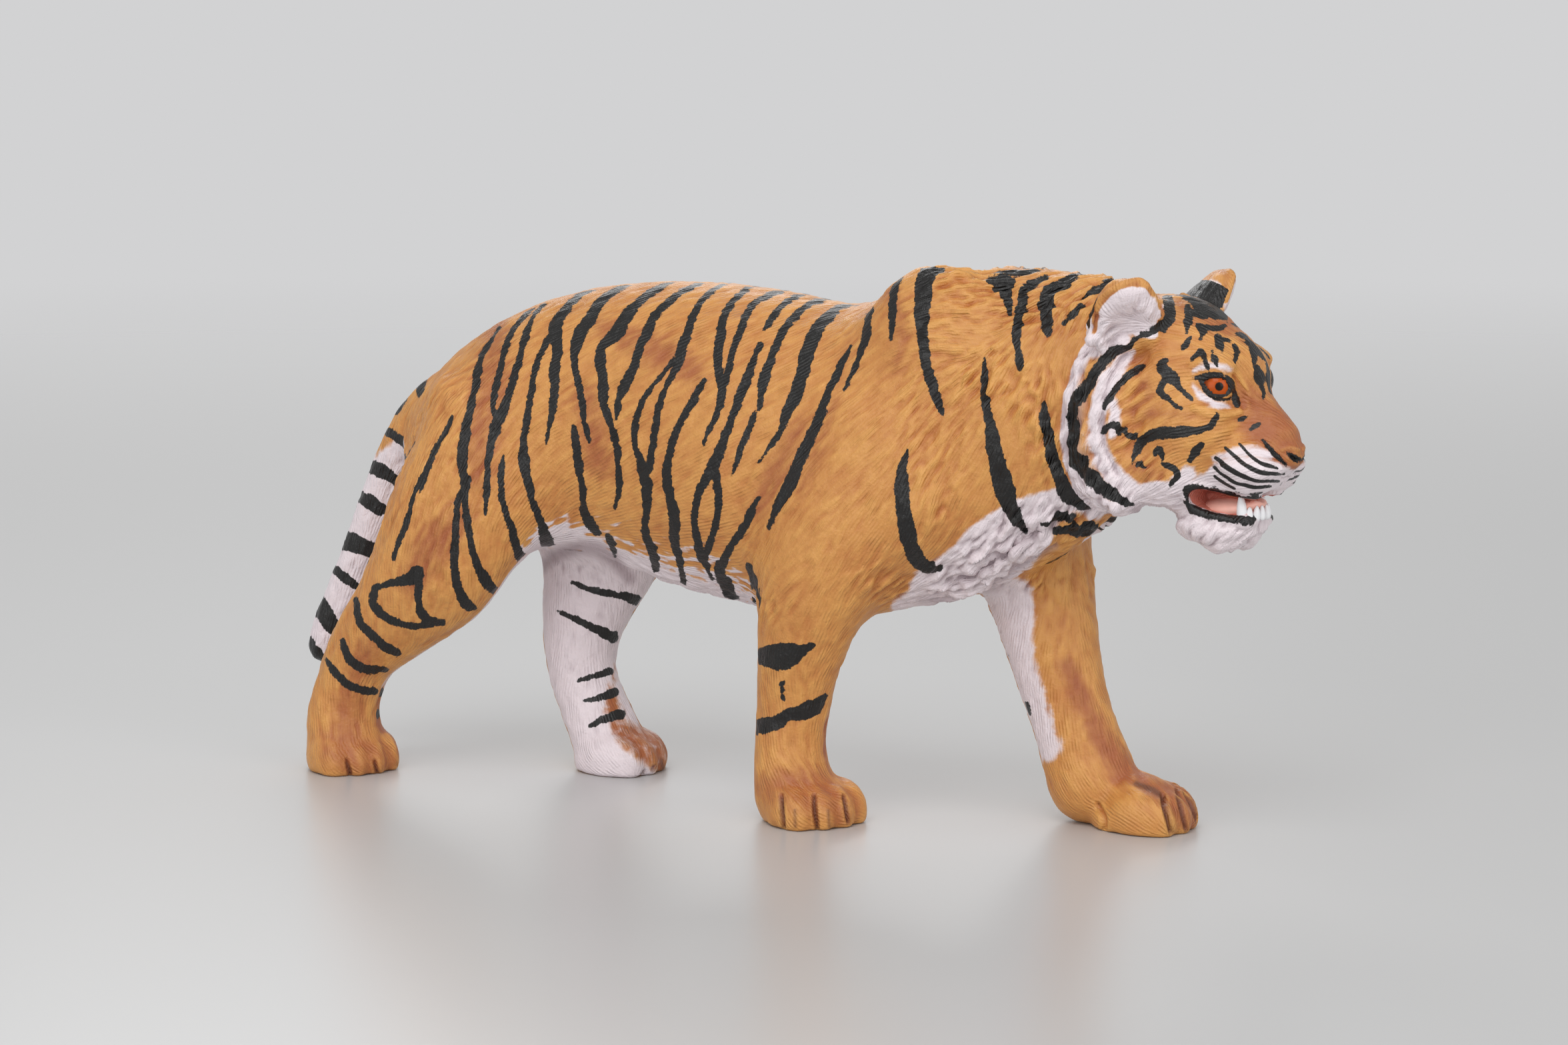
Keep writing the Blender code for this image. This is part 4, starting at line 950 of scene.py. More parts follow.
class Skin:
    """The dense skin of the figure as arrays in mm, with the tools to carve and paint it."""

    def __init__(self, mesh):
        count = len(mesh.vertices)
        points = np.empty(count * 3)
        mesh.vertices.foreach_get("co", points)
        self.points = points.reshape(-1, 3) / MM
        corners = np.empty(len(mesh.polygons) * 4, int)
        mesh.polygons.foreach_get("vertices", corners)
        self.quads = corners.reshape(-1, 4)
        pairs = [self.quads[:, (a, b)] for a, b in ((0, 1), (1, 2), (2, 3), (3, 0), (0, 2), (1, 3))]
        pairs = np.sort(np.vstack(pairs), axis=1)
        keys = np.unique(pairs[:, 0].astype(np.int64) * count + pairs[:, 1])
        self.first, self.second = keys // count, keys % count
        self.degree = np.bincount(np.concatenate((self.first, self.second)), minlength=count)
        self.update()

    def update(self):
        """Works out the normals anew."""
        a, b, c, d = (self.points[self.quads[:, corner]] for corner in range(4))
        face = np.cross(c - a, d - b)
        normals = np.zeros_like(self.points)
        for corner in range(4):
            column = self.quads[:, corner]
            for axis in range(3):
                normals[:, axis] += np.bincount(column, face[:, axis], len(self.points))
        self.normals = rows_of(normals)

    def mean(self, values):
        """The mean of each vertex's neighbours."""
        total = np.bincount(self.first, values[self.second], len(values))
        total += np.bincount(self.second, values[self.first], len(values))
        return total / self.degree

    def relax(self, passes, step=0.6, refill=-0.62):
        """Smooths the skin and keeps its volume."""
        for _ in range(passes):
            for factor in (step, refill):
                drift = [self.mean(self.points[:, axis]) for axis in range(3)]
                drift = np.stack(drift, axis=1) - self.points
                self.points = self.points + factor * drift
        self.update()

    def soften(self, values, passes):
        """Values spread evenly over their neighbours."""
        for _ in range(passes):
            values = 0.5 * values + 0.5 * self.mean(values)
        return values

    def comb(self, values, lie, passes):
        """Values drawn out along the lie of the fur."""
        step = self.points[self.second] - self.points[self.first]
        length = np.maximum(np.linalg.norm(step, axis=1), 1e-6)
        forth = np.abs((step * lie[self.first]).sum(axis=1)) / length
        back = np.abs((step * lie[self.second]).sum(axis=1)) / length
        forth = forth**COMB_SHARPNESS + COMB_LEAST
        back = back**COMB_SHARPNESS + COMB_LEAST
        total = np.bincount(self.first, forth, len(values)) + np.bincount(self.second, back, len(values))
        for _ in range(passes):
            drawn = np.bincount(self.first, forth * values[self.second], len(values))
            drawn += np.bincount(self.second, back * values[self.first], len(values))
            values = (1 - COMB_SHARE) * values + COMB_SHARE * drawn / total
        return values

    def sort_out(self):
        """Says for each vertex where its twin on the visible side falls on the photo."""
        home = to_head(self.points)
        heights, edges = np.array(HEAD_BORDER, float).T
        self.head = ramp(home[:, 0] - np.interp(home[:, 2], heights, edges), *HEAD_BLEND)
        self.head *= self.points[:, 2] > HEAD_LEAST
        on_head = self.head > 0.5

        left = self.points[:, 1] > HEAD_ASIDE
        near = self.points.copy()
        shift = legs_lead(near, 1)
        near[:, 0] -= np.where(left, shift, 0)
        self.near_x = near[:, 0].copy()
        near[:, 1] = np.where(left, 2 * HEAD_ASIDE - near[:, 1], near[:, 1])
        far_home = home[:, 1] > 0
        near_home = from_head(np.where(far_home[:, None], flip_y(home), home))
        near[on_head] = near_home[on_head]
        self.flipped = np.where(on_head, far_home, left)

        normals = self.normals.copy()
        normals[left] = flip_y(normals[left])
        turn = np.array(HEAD_FRAME.to_3x3())
        home_normals = self.normals @ turn
        home_normals = np.where(far_home[:, None], flip_y(home_normals), home_normals) @ turn.T
        normals[on_head] = home_normals[on_head]
        self.outer_places, depth = photo_places(near)
        toward = rows_of(np.array(CAMERA_PLACE) - near)
        self.outer_facing = (normals * toward).sum(axis=1)
        self.outer_normals = normals
        self.pixel = depth / FOCAL
        self.home = home
        self.home_normals = self.normals @ turn
        sided = home * np.stack((np.ones(len(home)), np.sign(home[:, 1]), np.ones(len(home))), axis=1)
        from_foot = sided - np.array(EAR_FOOT)
        self.ear_height = from_foot @ np.array(EAR_LEAN)
        beside = np.linalg.norm(from_foot - self.ear_height[:, None] * np.array(EAR_LEAN), axis=1)
        self.ears = self.head * ramp(self.ear_height, *EAR_START) * (1 - ramp(beside, *EAR_REACH))

        inner = self.points.copy()
        right = ~left
        shift = legs_lead(inner, 0)
        inner[:, 0] += np.where(right, shift, 0)
        inner[:, 1] = np.where(right, 2 * HEAD_ASIDE - inner[:, 1], inner[:, 1])
        normals = self.normals.copy()
        normals[right] = flip_y(normals[right])
        self.inner_places, _ = photo_places(inner)
        toward = rows_of(np.array(CAMERA_PLACE) - inner)
        self.inner_facing = (normals * toward).sum(axis=1)
        beside = self.points[:, (0, 2)]
        near, gap, _ = outside(beside, TAIL_LINE, TAIL_REACH)
        self.tail = np.zeros(len(beside))
        self.tail[near] = 1 - ramp(gap, *TAIL_EDGE)
        self.tail *= 1 - ramp(np.abs(self.points[:, 1]), *TAIL_ASIDE)
        low_down = 1 - ramp(self.points[:, 2], *LEG_TOP)
        chest_front = ramp(self.points[:, 0], *CHEST_FORWARD) * (1 - ramp(self.points[:, 2], *CHEST_TOP))
        chest_front *= ramp(self.points[:, 1], *CHEST_ASIDE)
        turned = ramp(-normals[:, 1], *INNER_TURN)
        self.inward = np.where(left, ramp(self.inner_facing, *INNER_FACING), turned)
        self.inward *= (1 - self.head) * (1 - self.tail)
        self.inner = np.maximum(low_down, chest_front) * self.inward

    def spread(self, head_strokes, body_strokes, soft=SOFT_EDGE):
        """Soft paint of the head and the body, on both sides."""
        paint = self.head * brushed(self.outer_places, head_strokes, soft)
        paint += (1 - self.head) * brushed(self.outer_places, body_strokes, soft)
        return paint * ramp(self.outer_facing, *WRAP_FACING)


def lay_fur(skin):
    """The direction in which the fur lies at each vertex."""
    flat = np.zeros((len(skin.points), 2))
    for table, share in ((BODY_FUR_LIE, 1 - skin.head), (HEAD_FUR_LIE, skin.head)):
        some = np.nonzero(share > 0)[0]
        total = np.zeros((len(some), 2))
        for x, y, right, down in table:
            away = skin.outer_places[some] - (x, y)
            weight = 1 / ((away**2).sum(axis=1) + LIE_BLUR) ** 2
            total += weight[:, None] * np.array((right, down)) / math.hypot(right, down)
        flat[some] += rows_of(total) * share[some][:, None]
    lie = flat[:, :1] * RIGHTWARD - flat[:, 1:] * UPWARD
    lie += BACKWARD * LIE_LIFT
    lie -= skin.outer_normals * (lie * skin.outer_normals).sum(axis=1)[:, None]
    lie[skin.flipped] = flip_y(lie[skin.flipped])
    lie -= skin.normals * (lie * skin.normals).sum(axis=1)[:, None]
    return rows_of(lie)


def carve(skin, table, places, share):
    """Raises ridges and sinks grooves along their strokes."""
    for height, rows in table.values():
        near, _, wide = outside(places, rows, reach=4)
        lift = np.zeros(len(places))
        lift[near] = height * np.clip(1 - wide**2, 0, 1) ** 2
        skin.points += skin.normals * (lift * share)[:, None]


def draw_out_ears(skin):
    """Makes the ears as broad and as high as in the photo."""
    sign = np.sign(skin.home[:, 1])
    mirror = np.stack((np.ones(len(sign)), sign, np.ones(len(sign))), axis=1)
    lean = np.array(EAR_LEAN)
    axis = np.array(EAR_FOOT) + skin.ear_height[:, None] * lean
    away = skin.home * mirror - axis
    share = skin.head * ramp(skin.ear_height, *EAR_STRETCH_START)
    share *= 1 - ramp(np.linalg.norm(away, axis=1), *EAR_STRETCH_REACH)
    step = away * EAR_WIDEN + lean * EAR_RAISE * skin.ear_height[:, None] + np.array(EAR_SHIFT)
    skin.points = from_head(skin.home + step * mirror * share[:, None])
    skin.update()


def round_haunches(skin):
    """Rounds off the outer rear edge of the haunches, so that the tail stands free as in the photo."""
    heights, middles = np.array(HIND_LEG_LINE, float).T
    low, high, rise, top = HAUNCH_HEIGHTS
    back = np.interp(skin.points[:, 2], heights, middles) - skin.near_x
    share = ramp(back, *HAUNCH_BACK) * ramp(np.abs(skin.points[:, 1]), *HAUNCH_ASIDE)
    share *= ramp(skin.points[:, 2], low, high) * (1 - ramp(skin.points[:, 2], rise, top)) * (1 - skin.tail)
    skin.points[:, 0] += HAUNCH_ROUNDING * share
    skin.update()


def eye_middle(side):
    """The eye's middle, in mm: under the skin where the photo shows the eye, or mirrored."""
    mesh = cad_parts[NODE].data
    corners = [vertex.co for vertex in mesh.vertices]
    solid = BVHTree.FromPolygons(corners, [face.vertices for face in mesh.polygons])
    place = solid.ray_cast(mm(CAMERA_PLACE), Vector(photo_ray(EYE_MIDDLE)))[0]
    middle = np.array(place) / MM + photo_ray(EYE_MIDDLE) * (EYE_RADIUS - EYE_PROUD)
    if side > 0:
        middle = from_head(flip_y(to_head(middle[None])))[0]
    return middle


def set_eyelids(skin):
    """Opens the lids over each eyeball and wraps them round it."""
    opening = inside_outline(skin.outer_places, EYE_OUTLINE) * skin.pixel
    for side in (-1, 1):
        middle = eye_middle(side)
        away = skin.points - middle
        distance = np.linalg.norm(away, axis=1)
        ours = (distance < LID_FAR) & (skin.head > 0.5) & (skin.flipped == (side > 0))
        ours &= skin.outer_facing > 0
        wanted = np.maximum(distance, EYE_RADIUS + LID_COVER)
        wanted = np.where(opening > LID_EDGE, EYE_RADIUS - LID_SINK, wanted)
        edge = 1 - ramp(distance, LID_NEAR, LID_FAR)
        wanted = distance + (wanted - distance) * np.where(opening > LID_EDGE, 1, edge)
        skin.points[ours] = (middle + away * (wanted / distance)[:, None])[ours]


def fur_relief(skin, lie):
    """Locks, strands and hairs combed along the fur, as heights about zero."""
    chance = np.random.default_rng(NOISE_SEED)
    layers = []
    for spread, drawn in FUR_LAYERS:
        grain = skin.soften(chance.normal(size=len(skin.points)), spread)
        grain = skin.comb(grain / grain.std(), lie, drawn)
        layers.append(grain / grain.std())
    locks, strands, hairs = layers
    lock, strand, hair = FUR_SHARES
    rounded = LOCK_STEEPNESS * np.minimum(np.abs(locks), LOCK_TOP) - 1.0
    return lock * rounded + strand * np.clip(strands, -2, 2) + hair * np.clip(hairs, -2, 2)


def fur_depth(skin, scale):
    """How deep the fur is carved at each vertex, in mm."""
    depth = np.full(len(skin.points), FUR_LEAST)
    for table, share in ((BODY_FUR_DEPTH, 1 - skin.head), (HEAD_FUR_DEPTH, skin.head)):
        for height, rows in table.values():
            brush = brushed(skin.outer_places, {"brush": rows}, soft=30)
            depth = np.maximum(depth, height * share * brush)
    depth *= 1 - skin.head * brushed(skin.outer_places, SMOOTH_SKIN, soft=10)
    return depth * scale * ramp(skin.points[:, 2], *FUR_START)


def ear_backs(skin):
    """Where the ears turn their backs and inner sides, up to their tan tips."""
    toward_middle = -skin.home_normals[:, 1] * np.sign(skin.home[:, 1])
    backs = ramp(-skin.home_normals[:, 0], *EAR_BACKWARD)
    backs = np.maximum(backs, ramp(toward_middle, *EAR_INWARD))
    return backs * (1 - ramp(skin.ear_height, *EAR_BLACK_END))


def stripe_gap(skin):
    """How far each vertex lies outside the black marks, in mm, and below zero inside them."""
    turned = np.maximum(STRIPE_FACING - skin.outer_facing, 0) * TURNED_LOSS
    head = nearest_gap(skin.outer_places, HEAD_STRIPES, fullness=HEAD_FULLNESS)
    liner = -inside_outline(skin.outer_places, EYE_OUTLINE) - EYE_LINER
    head = np.minimum(head, liner) + (1 - skin.head) * FAR + turned
    body = nearest_gap(skin.outer_places, BODY_STRIPES, fullness=BODY_FULLNESS)
    body += skin.head * FAR + turned + np.maximum(ramp(skin.inner, 0.3, 0.8), skin.tail) * FAR
    tail = nearest_gap(skin.outer_places, TAIL_STRIPES, fullness=BODY_FULLNESS) + (1 - skin.tail) * FAR
    body = np.minimum(body, tail)
    turned = np.maximum(STRIPE_FACING - skin.inner_facing, 0) * TURNED_LOSS
    inner = nearest_gap(skin.inner_places, INNER_STRIPES, fullness=BODY_FULLNESS)
    inner = inner + (1 - skin.inner) * FAR + turned
    behind = np.stack((-np.abs(skin.points[:, 1] - HEAD_ASIDE), skin.points[:, 2]), axis=1)
    rear = nearest_gap(behind, REAR_STRIPES, reach=5)
    rear = rear + REAR_LOSS * (1 - ramp(-skin.normals[:, 0], *REAR_FACING))
    rear += REAR_LOSS * np.maximum(ramp(skin.near_x, *REAR_FRONT), ramp(skin.inner, 0.3, 0.6))
    # Below zero where at least four fifths of a place belong to the back of an ear
    ears = 2.4 - 3.0 * skin.ears * ear_backs(skin)
    return np.minimum(np.minimum(np.minimum(head, body), inner) * skin.pixel, np.minimum(rear, ears))


def paint_skin(skin, relief):
    """The paint of every vertex: shares from 0 to 1, and distances in mm."""
    body = 1 - skin.head
    belly = body * ramp(-skin.normals[:, 2], *BELLY_DOWNWARD) * ramp(skin.points[:, 2], *BELLY_HEIGHT)
    belly *= ramp(skin.points[:, 0], *BELLY_REAR) * (1 - ramp(skin.points[:, 0], *BELLY_FRONT))
    crown = skin.head * ramp(skin.home[:, 2], *CROWN_HEIGHT)
    crown = crown * (1 - ramp(np.abs(skin.home[:, 1]), *CROWN_ASIDE))
    white = skin.spread(HEAD_WHITE, BODY_WHITE) * (1 - skin.inner) * (1 - crown)
    white = np.maximum(white, belly)
    under_jaw = skin.head * ramp(-skin.home[:, 2], *JAW_HEIGHT)
    under_jaw = under_jaw * ramp(-skin.home_normals[:, 2], *JAW_DOWNWARD)
    left = skin.points[:, 1] > HEAD_ASIDE
    inner_white = brushed(skin.inner_places, INNER_WHITE, soft=20)
    hind = 1 - ramp(skin.points[:, 0], *HIND_FRONT)
    hind = hind * np.maximum(left, ramp(skin.points[:, 2], *HIND_PAW_TOP))
    inner_white = skin.inner * np.maximum(inner_white, hind)
    inner_white = np.maximum(inner_white, skin.tail * brushed(skin.outer_places, TAIL_WHITE))
    ear_white = skin.ears * ramp(skin.home_normals[:, 0], *EAR_FORWARD)
    ear_white = ear_white * (1 - ramp(skin.ear_height, *EAR_WHITE_END))
    white = np.maximum.reduce((white, under_jaw, inner_white, ear_white))
    white *= 1 - skin.head * brushed(skin.outer_places, EAR_RIM, soft=4)
    brown = skin.spread(HEAD_BROWN, BODY_BROWN, soft=24) * (1 - skin.inner) * (0.85 + 0.15 * skin.head)
    inner_brown = skin.inner * brushed(skin.inner_places, INNER_BROWN, soft=16)
    brown = np.maximum(brown, inner_brown)
    white *= 1 - 0.72 * inner_brown
    # Painted shade: lilac in the creases, under the throat and behind the ruff, and dark brown between the
    # toes
    shade = skin.spread(HEAD_SHADE, BODY_SHADE, soft=8)
    shade = np.maximum(shade, skin.inward * brushed(skin.inner_places, BODY_SHADE, soft=8))
    toes = skin.spread({}, TOE_SHADE_LINES, soft=3) * ramp(skin.outer_facing, *TOE_FACING)
    toes = np.maximum(toes, skin.inner * brushed(skin.inner_places, FAR_TOE_SHADE_LINES, soft=3))
    whiskers = nearest_gap(skin.outer_places, WHISKER_LINES) + (1 - skin.head) * FAR
    whiskers += np.maximum(WHISKER_FACING - skin.outer_facing, 0) * TURNED_LOSS
    flesh = inside_outline(skin.outer_places, MOUTH_OUTLINE) - (1 - skin.head) * FAR
    # How hollow the skin is, for the painted shade in its hollows
    bend = np.stack([skin.mean(skin.points[:, axis]) for axis in range(3)], axis=1) - skin.points
    hollow = skin.soften((bend * skin.normals).sum(axis=1), 3)
    return {
        "stripe": np.clip(stripe_gap(skin), -2, 2),
        "whisker": np.clip(whiskers * skin.pixel, -2, 2),
        "white": white,
        "brown": brown,
        "shade": shade,
        "toes": toes,
        "flesh": np.clip(flesh * skin.pixel, -2, 2),
        "relief": np.clip(relief, -2, 2),
        "hollow": np.clip(hollow / hollow.std(), -3, 3),
    }


def cut_piece(name, skin, faces, paint, across):
    """One piece of the coat as an object of its own, with its paint and the whole skin's normals."""
    used, corners = np.unique(skin.quads[faces], return_inverse=True)
    mesh = bpy.data.meshes.new(name)
    mesh.vertices.add(len(used))
    mesh.vertices.foreach_set("co", (skin.points[used] * MM).ravel())
    mesh.loops.add(corners.size)
    mesh.loops.foreach_set("vertex_index", corners.ravel())
    mesh.polygons.add(len(faces))
    mesh.polygons.foreach_set("loop_start", np.arange(0, corners.size, 4))
    mesh.update(calc_edges=True)
    for label, values in paint.items():
        layer = mesh.attributes.new(label, "FLOAT", "POINT")
        layer.data.foreach_set("value", values[used])
    layer = mesh.attributes.new("across", "FLOAT_VECTOR", "POINT")
    layer.data.foreach_set("vector", across[used].ravel())
    mesh.shade_smooth()
    mesh.normals_split_custom_set_from_vertices(skin.normals[used])
    piece = bpy.data.objects.new(name, mesh)
    bpy.context.scene.collection.objects.link(piece)
    return piece


def deselect():
    """Leaves nothing selected."""
    for obj in bpy.context.selected_objects:
        obj.select_set(False)


def pick(obj):
    """Makes one object the only selected and active one."""
    deselect()
    bpy.context.view_layer.objects.active = obj
    obj.select_set(True)


def apply_modifiers(obj):
    """Applies all modifiers of one object."""
    pick(obj)
    for modifier in list(obj.modifiers):
        bpy.ops.object.modifier_apply(modifier=modifier.name)


def bake_place(obj):
    """Puts an object's place, turn and size into its mesh."""
    pick(obj)
    bpy.ops.object.transform_apply(location=True, rotation=True, scale=True)


def dense_copy(name, fineness):
    """A smooth, evenly dense copy of the solid."""
    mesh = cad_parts[NODE].data.copy()
    work = bmesh.new()
    work.from_mesh(mesh)
    bmesh.ops.remove_doubles(work, verts=work.verts, dist=1e-7)
    work.to_mesh(mesh)
    work.free()
    mesh.materials.clear()
    obj = bpy.data.objects.new(name, mesh)
    bpy.context.scene.collection.objects.link(obj)
    rounding = obj.modifiers.new("rounding", "SUBSURF")
    rounding.levels = rounding.render_levels = 2
    skin = obj.modifiers.new("skin", "REMESH")
    skin.mode = "VOXEL"
    skin.voxel_size = fineness
    apply_modifiers(obj)
    return obj


def finish_piece(obj, material):
    """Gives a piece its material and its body."""
    obj.data.materials.clear()
    obj.data.materials.append(material)
    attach(obj, BODY)


def add(tree, kind, inputs=None, **settings):
    """Adds a node with its settings, and its inputs as values or links."""
    node = tree.nodes.new(kind)
    for name, value in settings.items():
        setattr(node, name, value)
    for name, value in (inputs or {}).items():
        socket = node.inputs[name]
        if isinstance(value, bpy.types.NodeSocket):
            tree.links.new(value, socket)
        else:
            socket.default_value = value
    return node


def new_material(name):
    """An empty material, its node tree and its output node."""
    material = bpy.data.materials.new(name)
    material.use_nodes = True
    tree = material.node_tree
    tree.nodes.clear()
    return material, tree, add(tree, "ShaderNodeOutputMaterial")


def painted_pvc(looks):
    """Acrylic paint, brushed by hand over moulded PVC: satin and uneven, with painted shade in the hollows and
    painted highlight on the ridges of the fur.
    """
    material, tree, output = new_material("hand_painted_moulded_pvc")
    spot = add(tree, "ShaderNodeTexCoord").outputs["Object"]
    read = {label: add(tree, "ShaderNodeAttribute", attribute_name=label).outputs for label in PAINT_LAYERS}
    paint = {name: (*getattr(looks, name), 1.0) for name in PAINTS}
    stripe, whisker, relief = read["stripe"]["Fac"], read["whisker"]["Fac"], read["relief"]["Fac"]

    # Hairs 0.4 mm apart, a little coarser than real so that they show, combed along the fur
    hair = add(
        tree, "ShaderNodeTexGabor",
        {"Vector": spot, "Scale": 1 / (1.6 * MM), "Frequency": 4.0, "Anisotropy": 1.0}, gabor_type="3D",
    )
    tree.links.new(read["across"]["Vector"], hair.inputs[GABOR_ORIENTATION])
    hair = hair.outputs["Value"]
    # Frayed paint about 0.4 mm wide, and clouds of thinner and thicker paint about 5 mm wide
    brush = {"Vector": spot, "Scale": 1 / (0.8 * MM), "Detail": 4.0, "Roughness": 0.7}
    brush = add(tree, "ShaderNodeTexNoise", brush).outputs["Fac"]
    brush = add(tree, "ShaderNodeMath", {0: brush, 1: 0.5}, operation="SUBTRACT").outputs[0]
    cloud = {"Vector": spot, "Scale": 1 / (5.5 * MM), "Detail": 3.0, "Roughness": 0.55}
    cloud = add(tree, "ShaderNodeTexNoise", cloud).outputs["Fac"]
    cloud = add(tree, "ShaderNodeMath", {0: cloud, 1: 0.5}, operation="SUBTRACT").outputs[0]

    # The black marks end where their distance, frayed by brush, hair and relief, passes 0.1 mm
    ragged = add(tree, "ShaderNodeMath", {0: brush, 1: 0.7, 2: stripe}, operation="MULTIPLY_ADD").outputs[0]
    ragged = add(tree, "ShaderNodeMath", {0: hair, 1: 0.09, 2: ragged}, operation="MULTIPLY_ADD").outputs[0]
    ragged = {0: relief, 1: 0.07, 2: ragged}
    ragged = add(tree, "ShaderNodeMath", ragged, operation="MULTIPLY_ADD").outputs[0]
    black = {"Value": ragged, "From Min": 0.12, "From Max": 0.02}
    black = add(tree, "ShaderNodeMapRange", black, interpolation_type="SMOOTHSTEP").outputs["Result"]
    lines = add(tree, "ShaderNodeMath", {0: brush, 1: 0.12, 2: whisker}, operation="MULTIPLY_ADD").outputs[0]
    lines = {"Value": lines, "From Min": 0.08, "From Max": 0.0}
    lines = add(tree, "ShaderNodeMapRange", lines, interpolation_type="SMOOTHSTEP").outputs["Result"]
    black = add(tree, "ShaderNodeMath", {0: black, 1: lines}, operation="MAXIMUM").outputs[0]
    flesh = {"Value": read["flesh"]["Fac"], "From Min": -0.08, "From Max": 0.08}
    flesh = add(tree, "ShaderNodeMapRange", flesh, interpolation_type="SMOOTHSTEP").outputs["Result"]

    # Painted shade and highlight: darker ochre in the hollows and between the locks and the hairs, lighter on
    # their ridges
    deep = add(tree, "ShaderNodeMath", {0: relief, 1: -0.1}, operation="MULTIPLY").outputs[0]
    hollow = read["hollow"]["Fac"]
    deep = add(tree, "ShaderNodeMath", {0: hollow, 1: 0.16, 2: deep}, operation="MULTIPLY_ADD").outputs[0]
    deep = add(tree, "ShaderNodeMath", {0: hair, 1: -0.13, 2: deep}, operation="MULTIPLY_ADD").outputs[0]
    tone_and_shading = add(tree, "ShaderNodeMath", {0: cloud, 1: 1.1, 2: deep}, operation="MULTIPLY_ADD").outputs[0]
    tone_and_shading = {"Value": tone_and_shading, "From Min": -0.75, "From Max": 0.75}
    tone_and_shading = add(tree, "ShaderNodeMapRange", tone_and_shading, interpolation_type="SMOOTHSTEP").outputs["Result"]
    ochre = {0: tone_and_shading, 6: paint["light_coat"], 7: paint["dark_coat"]}
    ochre = add(tree, "ShaderNodeMix", ochre, data_type="RGBA").outputs[2]

    # Brown over the ochre, stronger in the hollows as painted shade
    wash = add(tree, "ShaderNodeMath", {0: deep, 1: 0.5}, operation="MULTIPLY").outputs[0]
    wash = add(tree, "ShaderNodeMath", {0: cloud, 1: 0.2, 2: wash}, operation="MULTIPLY_ADD").outputs[0]
    brown = read["brown"]["Fac"]
    wash = add(tree, "ShaderNodeMath", {0: brown, 1: 0.85, 2: wash}, operation="MULTIPLY_ADD").outputs[0]
    wash = {"Value": wash, "From Min": 0.1, "From Max": 1.0}
    wash = add(tree, "ShaderNodeMapRange", wash, interpolation_type="SMOOTHSTEP").outputs["Result"]
    ochre = {0: wash, 6: ochre, 7: paint["brown_wash"]}
    ochre = add(tree, "ShaderNodeMix", ochre, data_type="RGBA").outputs[2]

    # Pinkish white with lilac in its creases as painted shade, and a frayed edge against the ochre
    edge = {0: relief, 1: 0.1, 2: read["white"]["Fac"]}
    edge = add(tree, "ShaderNodeMath", edge, operation="MULTIPLY_ADD").outputs[0]
    edge = add(tree, "ShaderNodeMath", {0: hair, 1: 0.1, 2: edge}, operation="MULTIPLY_ADD").outputs[0]
    edge = add(tree, "ShaderNodeMath", {0: brush, 1: 0.5, 2: edge}, operation="MULTIPLY_ADD").outputs[0]
    edge = {"Value": edge, "From Min": 0.3, "From Max": 0.72}
    edge = add(tree, "ShaderNodeMapRange", edge, interpolation_type="SMOOTHSTEP").outputs["Result"]
    crease = add(tree, "ShaderNodeMath", {0: cloud, 1: 0.5, 2: deep}, operation="MULTIPLY_ADD").outputs[0]
    crease = {"Value": crease, "From Min": -0.1, "From Max": 0.9}
    crease = add(tree, "ShaderNodeMapRange", crease, interpolation_type="SMOOTHSTEP").outputs["Result"]
    pale = {0: crease, 6: paint["white_fur"], 7: paint["lilac_shade"]}
    pale = add(tree, "ShaderNodeMix", pale, data_type="RGBA").outputs[2]
    coat = add(tree, "ShaderNodeMix", {0: edge, 6: ochre, 7: pale}, data_type="RGBA").outputs[2]

    # Over both lie the painted shade, lilac in the folds and dark brown between the toes, then the black marks
    # and the mouth
    shade = add(tree, "ShaderNodeMath", {0: read["shade"]["Fac"], 1: 0.75}, operation="MULTIPLY").outputs[0]
    toes = add(tree, "ShaderNodeMath", {0: read["toes"]["Fac"], 1: 0.8}, operation="MULTIPLY").outputs[0]
    layers = ((shade, "lilac_shade"), (toes, "toe_shade_brown"), (black, "black_stripe"), (flesh, "mouth_red"))
    for share, name in layers:
        coat = {0: share, 6: coat, 7: paint[name]}
        coat = add(tree, "ShaderNodeMix", coat, data_type="RGBA").outputs[2]

    # Satin paint, uneven like its clouds; the black marks and the mouth are glossier
    gloss = add(tree, "ShaderNodeMath", {0: cloud, 1: 0.16, 2: 0.4}, operation="MULTIPLY_ADD").outputs[0]
    gloss = add(tree, "ShaderNodeMath", {0: black, 1: -0.1, 2: gloss}, operation="MULTIPLY_ADD").outputs[0]
    gloss = add(tree, "ShaderNodeMath", {0: flesh, 1: -0.14, 2: gloss}, operation="MULTIPLY_ADD").outputs[0]
    fur = add(tree, "ShaderNodeMath", {0: brush, 1: 0.6}, operation="MULTIPLY").outputs[0]
    fur = add(tree, "ShaderNodeMath", {0: hair, 1: 0.5, 2: fur}, operation="MULTIPLY_ADD").outputs[0]
    bump = {"Height": fur, "Strength": 1.0, "Distance": 0.3 * MM}
    bump = add(tree, "ShaderNodeBump", bump).outputs["Normal"]
    skin = {"Base Color": coat, "Roughness": gloss, "IOR": 1.49, "Normal": bump}
    shader = add(tree, "ShaderNodeBsdfPrincipled", skin)
    tree.links.new(shader.outputs[0], output.inputs["Surface"])
    return material


